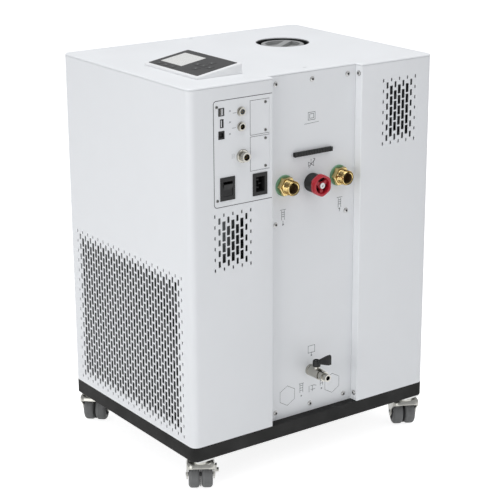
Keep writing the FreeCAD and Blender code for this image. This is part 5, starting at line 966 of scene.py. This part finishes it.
FLOOR_SIZE = 14.0
PAPER_GLOW = 0.82
SURROUND_LIGHT = 0.55
paper = bpy.data.materials.new("white_paper")
paper.use_nodes = True
tree = paper.node_tree
tree.nodes.clear()
path_kind = add(tree, "LightPath")
seen = add(tree, "Math", {
    0: path_kind.outputs["Is Camera Ray"], 1: path_kind.outputs["Is Glossy Ray"]},
    operation="MAXIMUM")
seen = add(tree, "Math", {
    0: seen.outputs[0], 1: path_kind.outputs["Is Transmission Ray"]}, operation="MAXIMUM")
lift = add(tree, "Math", {0: seen.outputs[0], 1: PAPER_GLOW}, operation="MULTIPLY")
matt = add(tree, "BsdfDiffuse", {"Color": linear("#e8e8e8")})
glow = add(tree, "Emission", {"Strength": lift.outputs[0]})
both = add(tree, "AddShader", {0: matt.outputs[0], 1: glow.outputs[0]})
add(tree, "OutputMaterial", {"Surface": both.outputs[0]})
sweep = bmesh.new()
bmesh.ops.create_grid(sweep, x_segments=4, y_segments=4, size=FLOOR_SIZE / 2)
floor_mesh = bpy.data.meshes.new("floor")
sweep.to_mesh(floor_mesh)
sweep.free()
floor_mesh.materials.append(paper)
floor = bpy.data.objects.new("floor", floor_mesh)
bpy.context.scene.collection.objects.link(floor)

world = bpy.data.worlds.new("studio")
bpy.context.scene.world = world
world.use_nodes = True
tree = world.node_tree
tree.nodes.clear()
path_kind = add(tree, "LightPath")
seen = add(tree, "Math", {
    0: path_kind.outputs["Is Camera Ray"], 1: path_kind.outputs["Is Transmission Ray"]},
    operation="MAXIMUM")
level = add(tree, "MapRange", {
    "Value": seen.outputs[0], "To Min": SURROUND_LIGHT, "To Max": 1.0})
sky = add(tree, "Background", {"Color": linear("#fbfcff"), "Strength": level.outputs["Result"]})
add(tree, "OutputWorld", {"Surface": sky.outputs[0]})


def soft_box(name, place, aim, width, watts):
    """A square lamp that faces the aim."""
    lamp = bpy.data.lights.new(name, "AREA")
    lamp.shape = "SQUARE"
    lamp.size = width
    lamp.energy = watts
    made = bpy.data.objects.new(name, lamp)
    made.matrix_world = Matrix.Translation(place) @ (
        Vector(aim) - Vector(place)).to_track_quat("-Z", "Y").to_matrix().to_4x4()
    bpy.context.scene.collection.objects.link(made)


soft_box("overhead_box", (0.2, -0.2, 3.0), (0, 0, 0.4), 2.2, 33.0)
soft_box("front_box", (1.2, -3.1, 0.9), (0, 0, 0.4), 1.8, 26.0)
soft_box("side_box", (3.0, 1.5, 1.4), (0, 0, 0.4), 1.6, 3.0)

LENS_PX, PICTURE_PX = 1559.77, 500
camera = bpy.data.cameras.new("photo_camera")
camera.sensor_width = 36.0
camera.lens = LENS_PX / PICTURE_PX * camera.sensor_width
viewer = bpy.data.objects.new("photo_camera", camera)
yaw, pitch, roll = (math.radians(value) for value in (54.41, 17.59, -0.271))
viewer.matrix_world = Matrix.Translation(TO_ROW @ Vector((2366.53, -1688.6, 1293.29))) @ (
    Matrix.Rotation(yaw, 4, "Z") @ Matrix.Rotation(QUARTER - pitch, 4, "X")
    @ Matrix.Rotation(roll, 4, "Z"))
bpy.context.scene.collection.objects.link(viewer)
bpy.context.scene.camera = viewer
bpy.context.scene.view_settings.view_transform = "Standard"
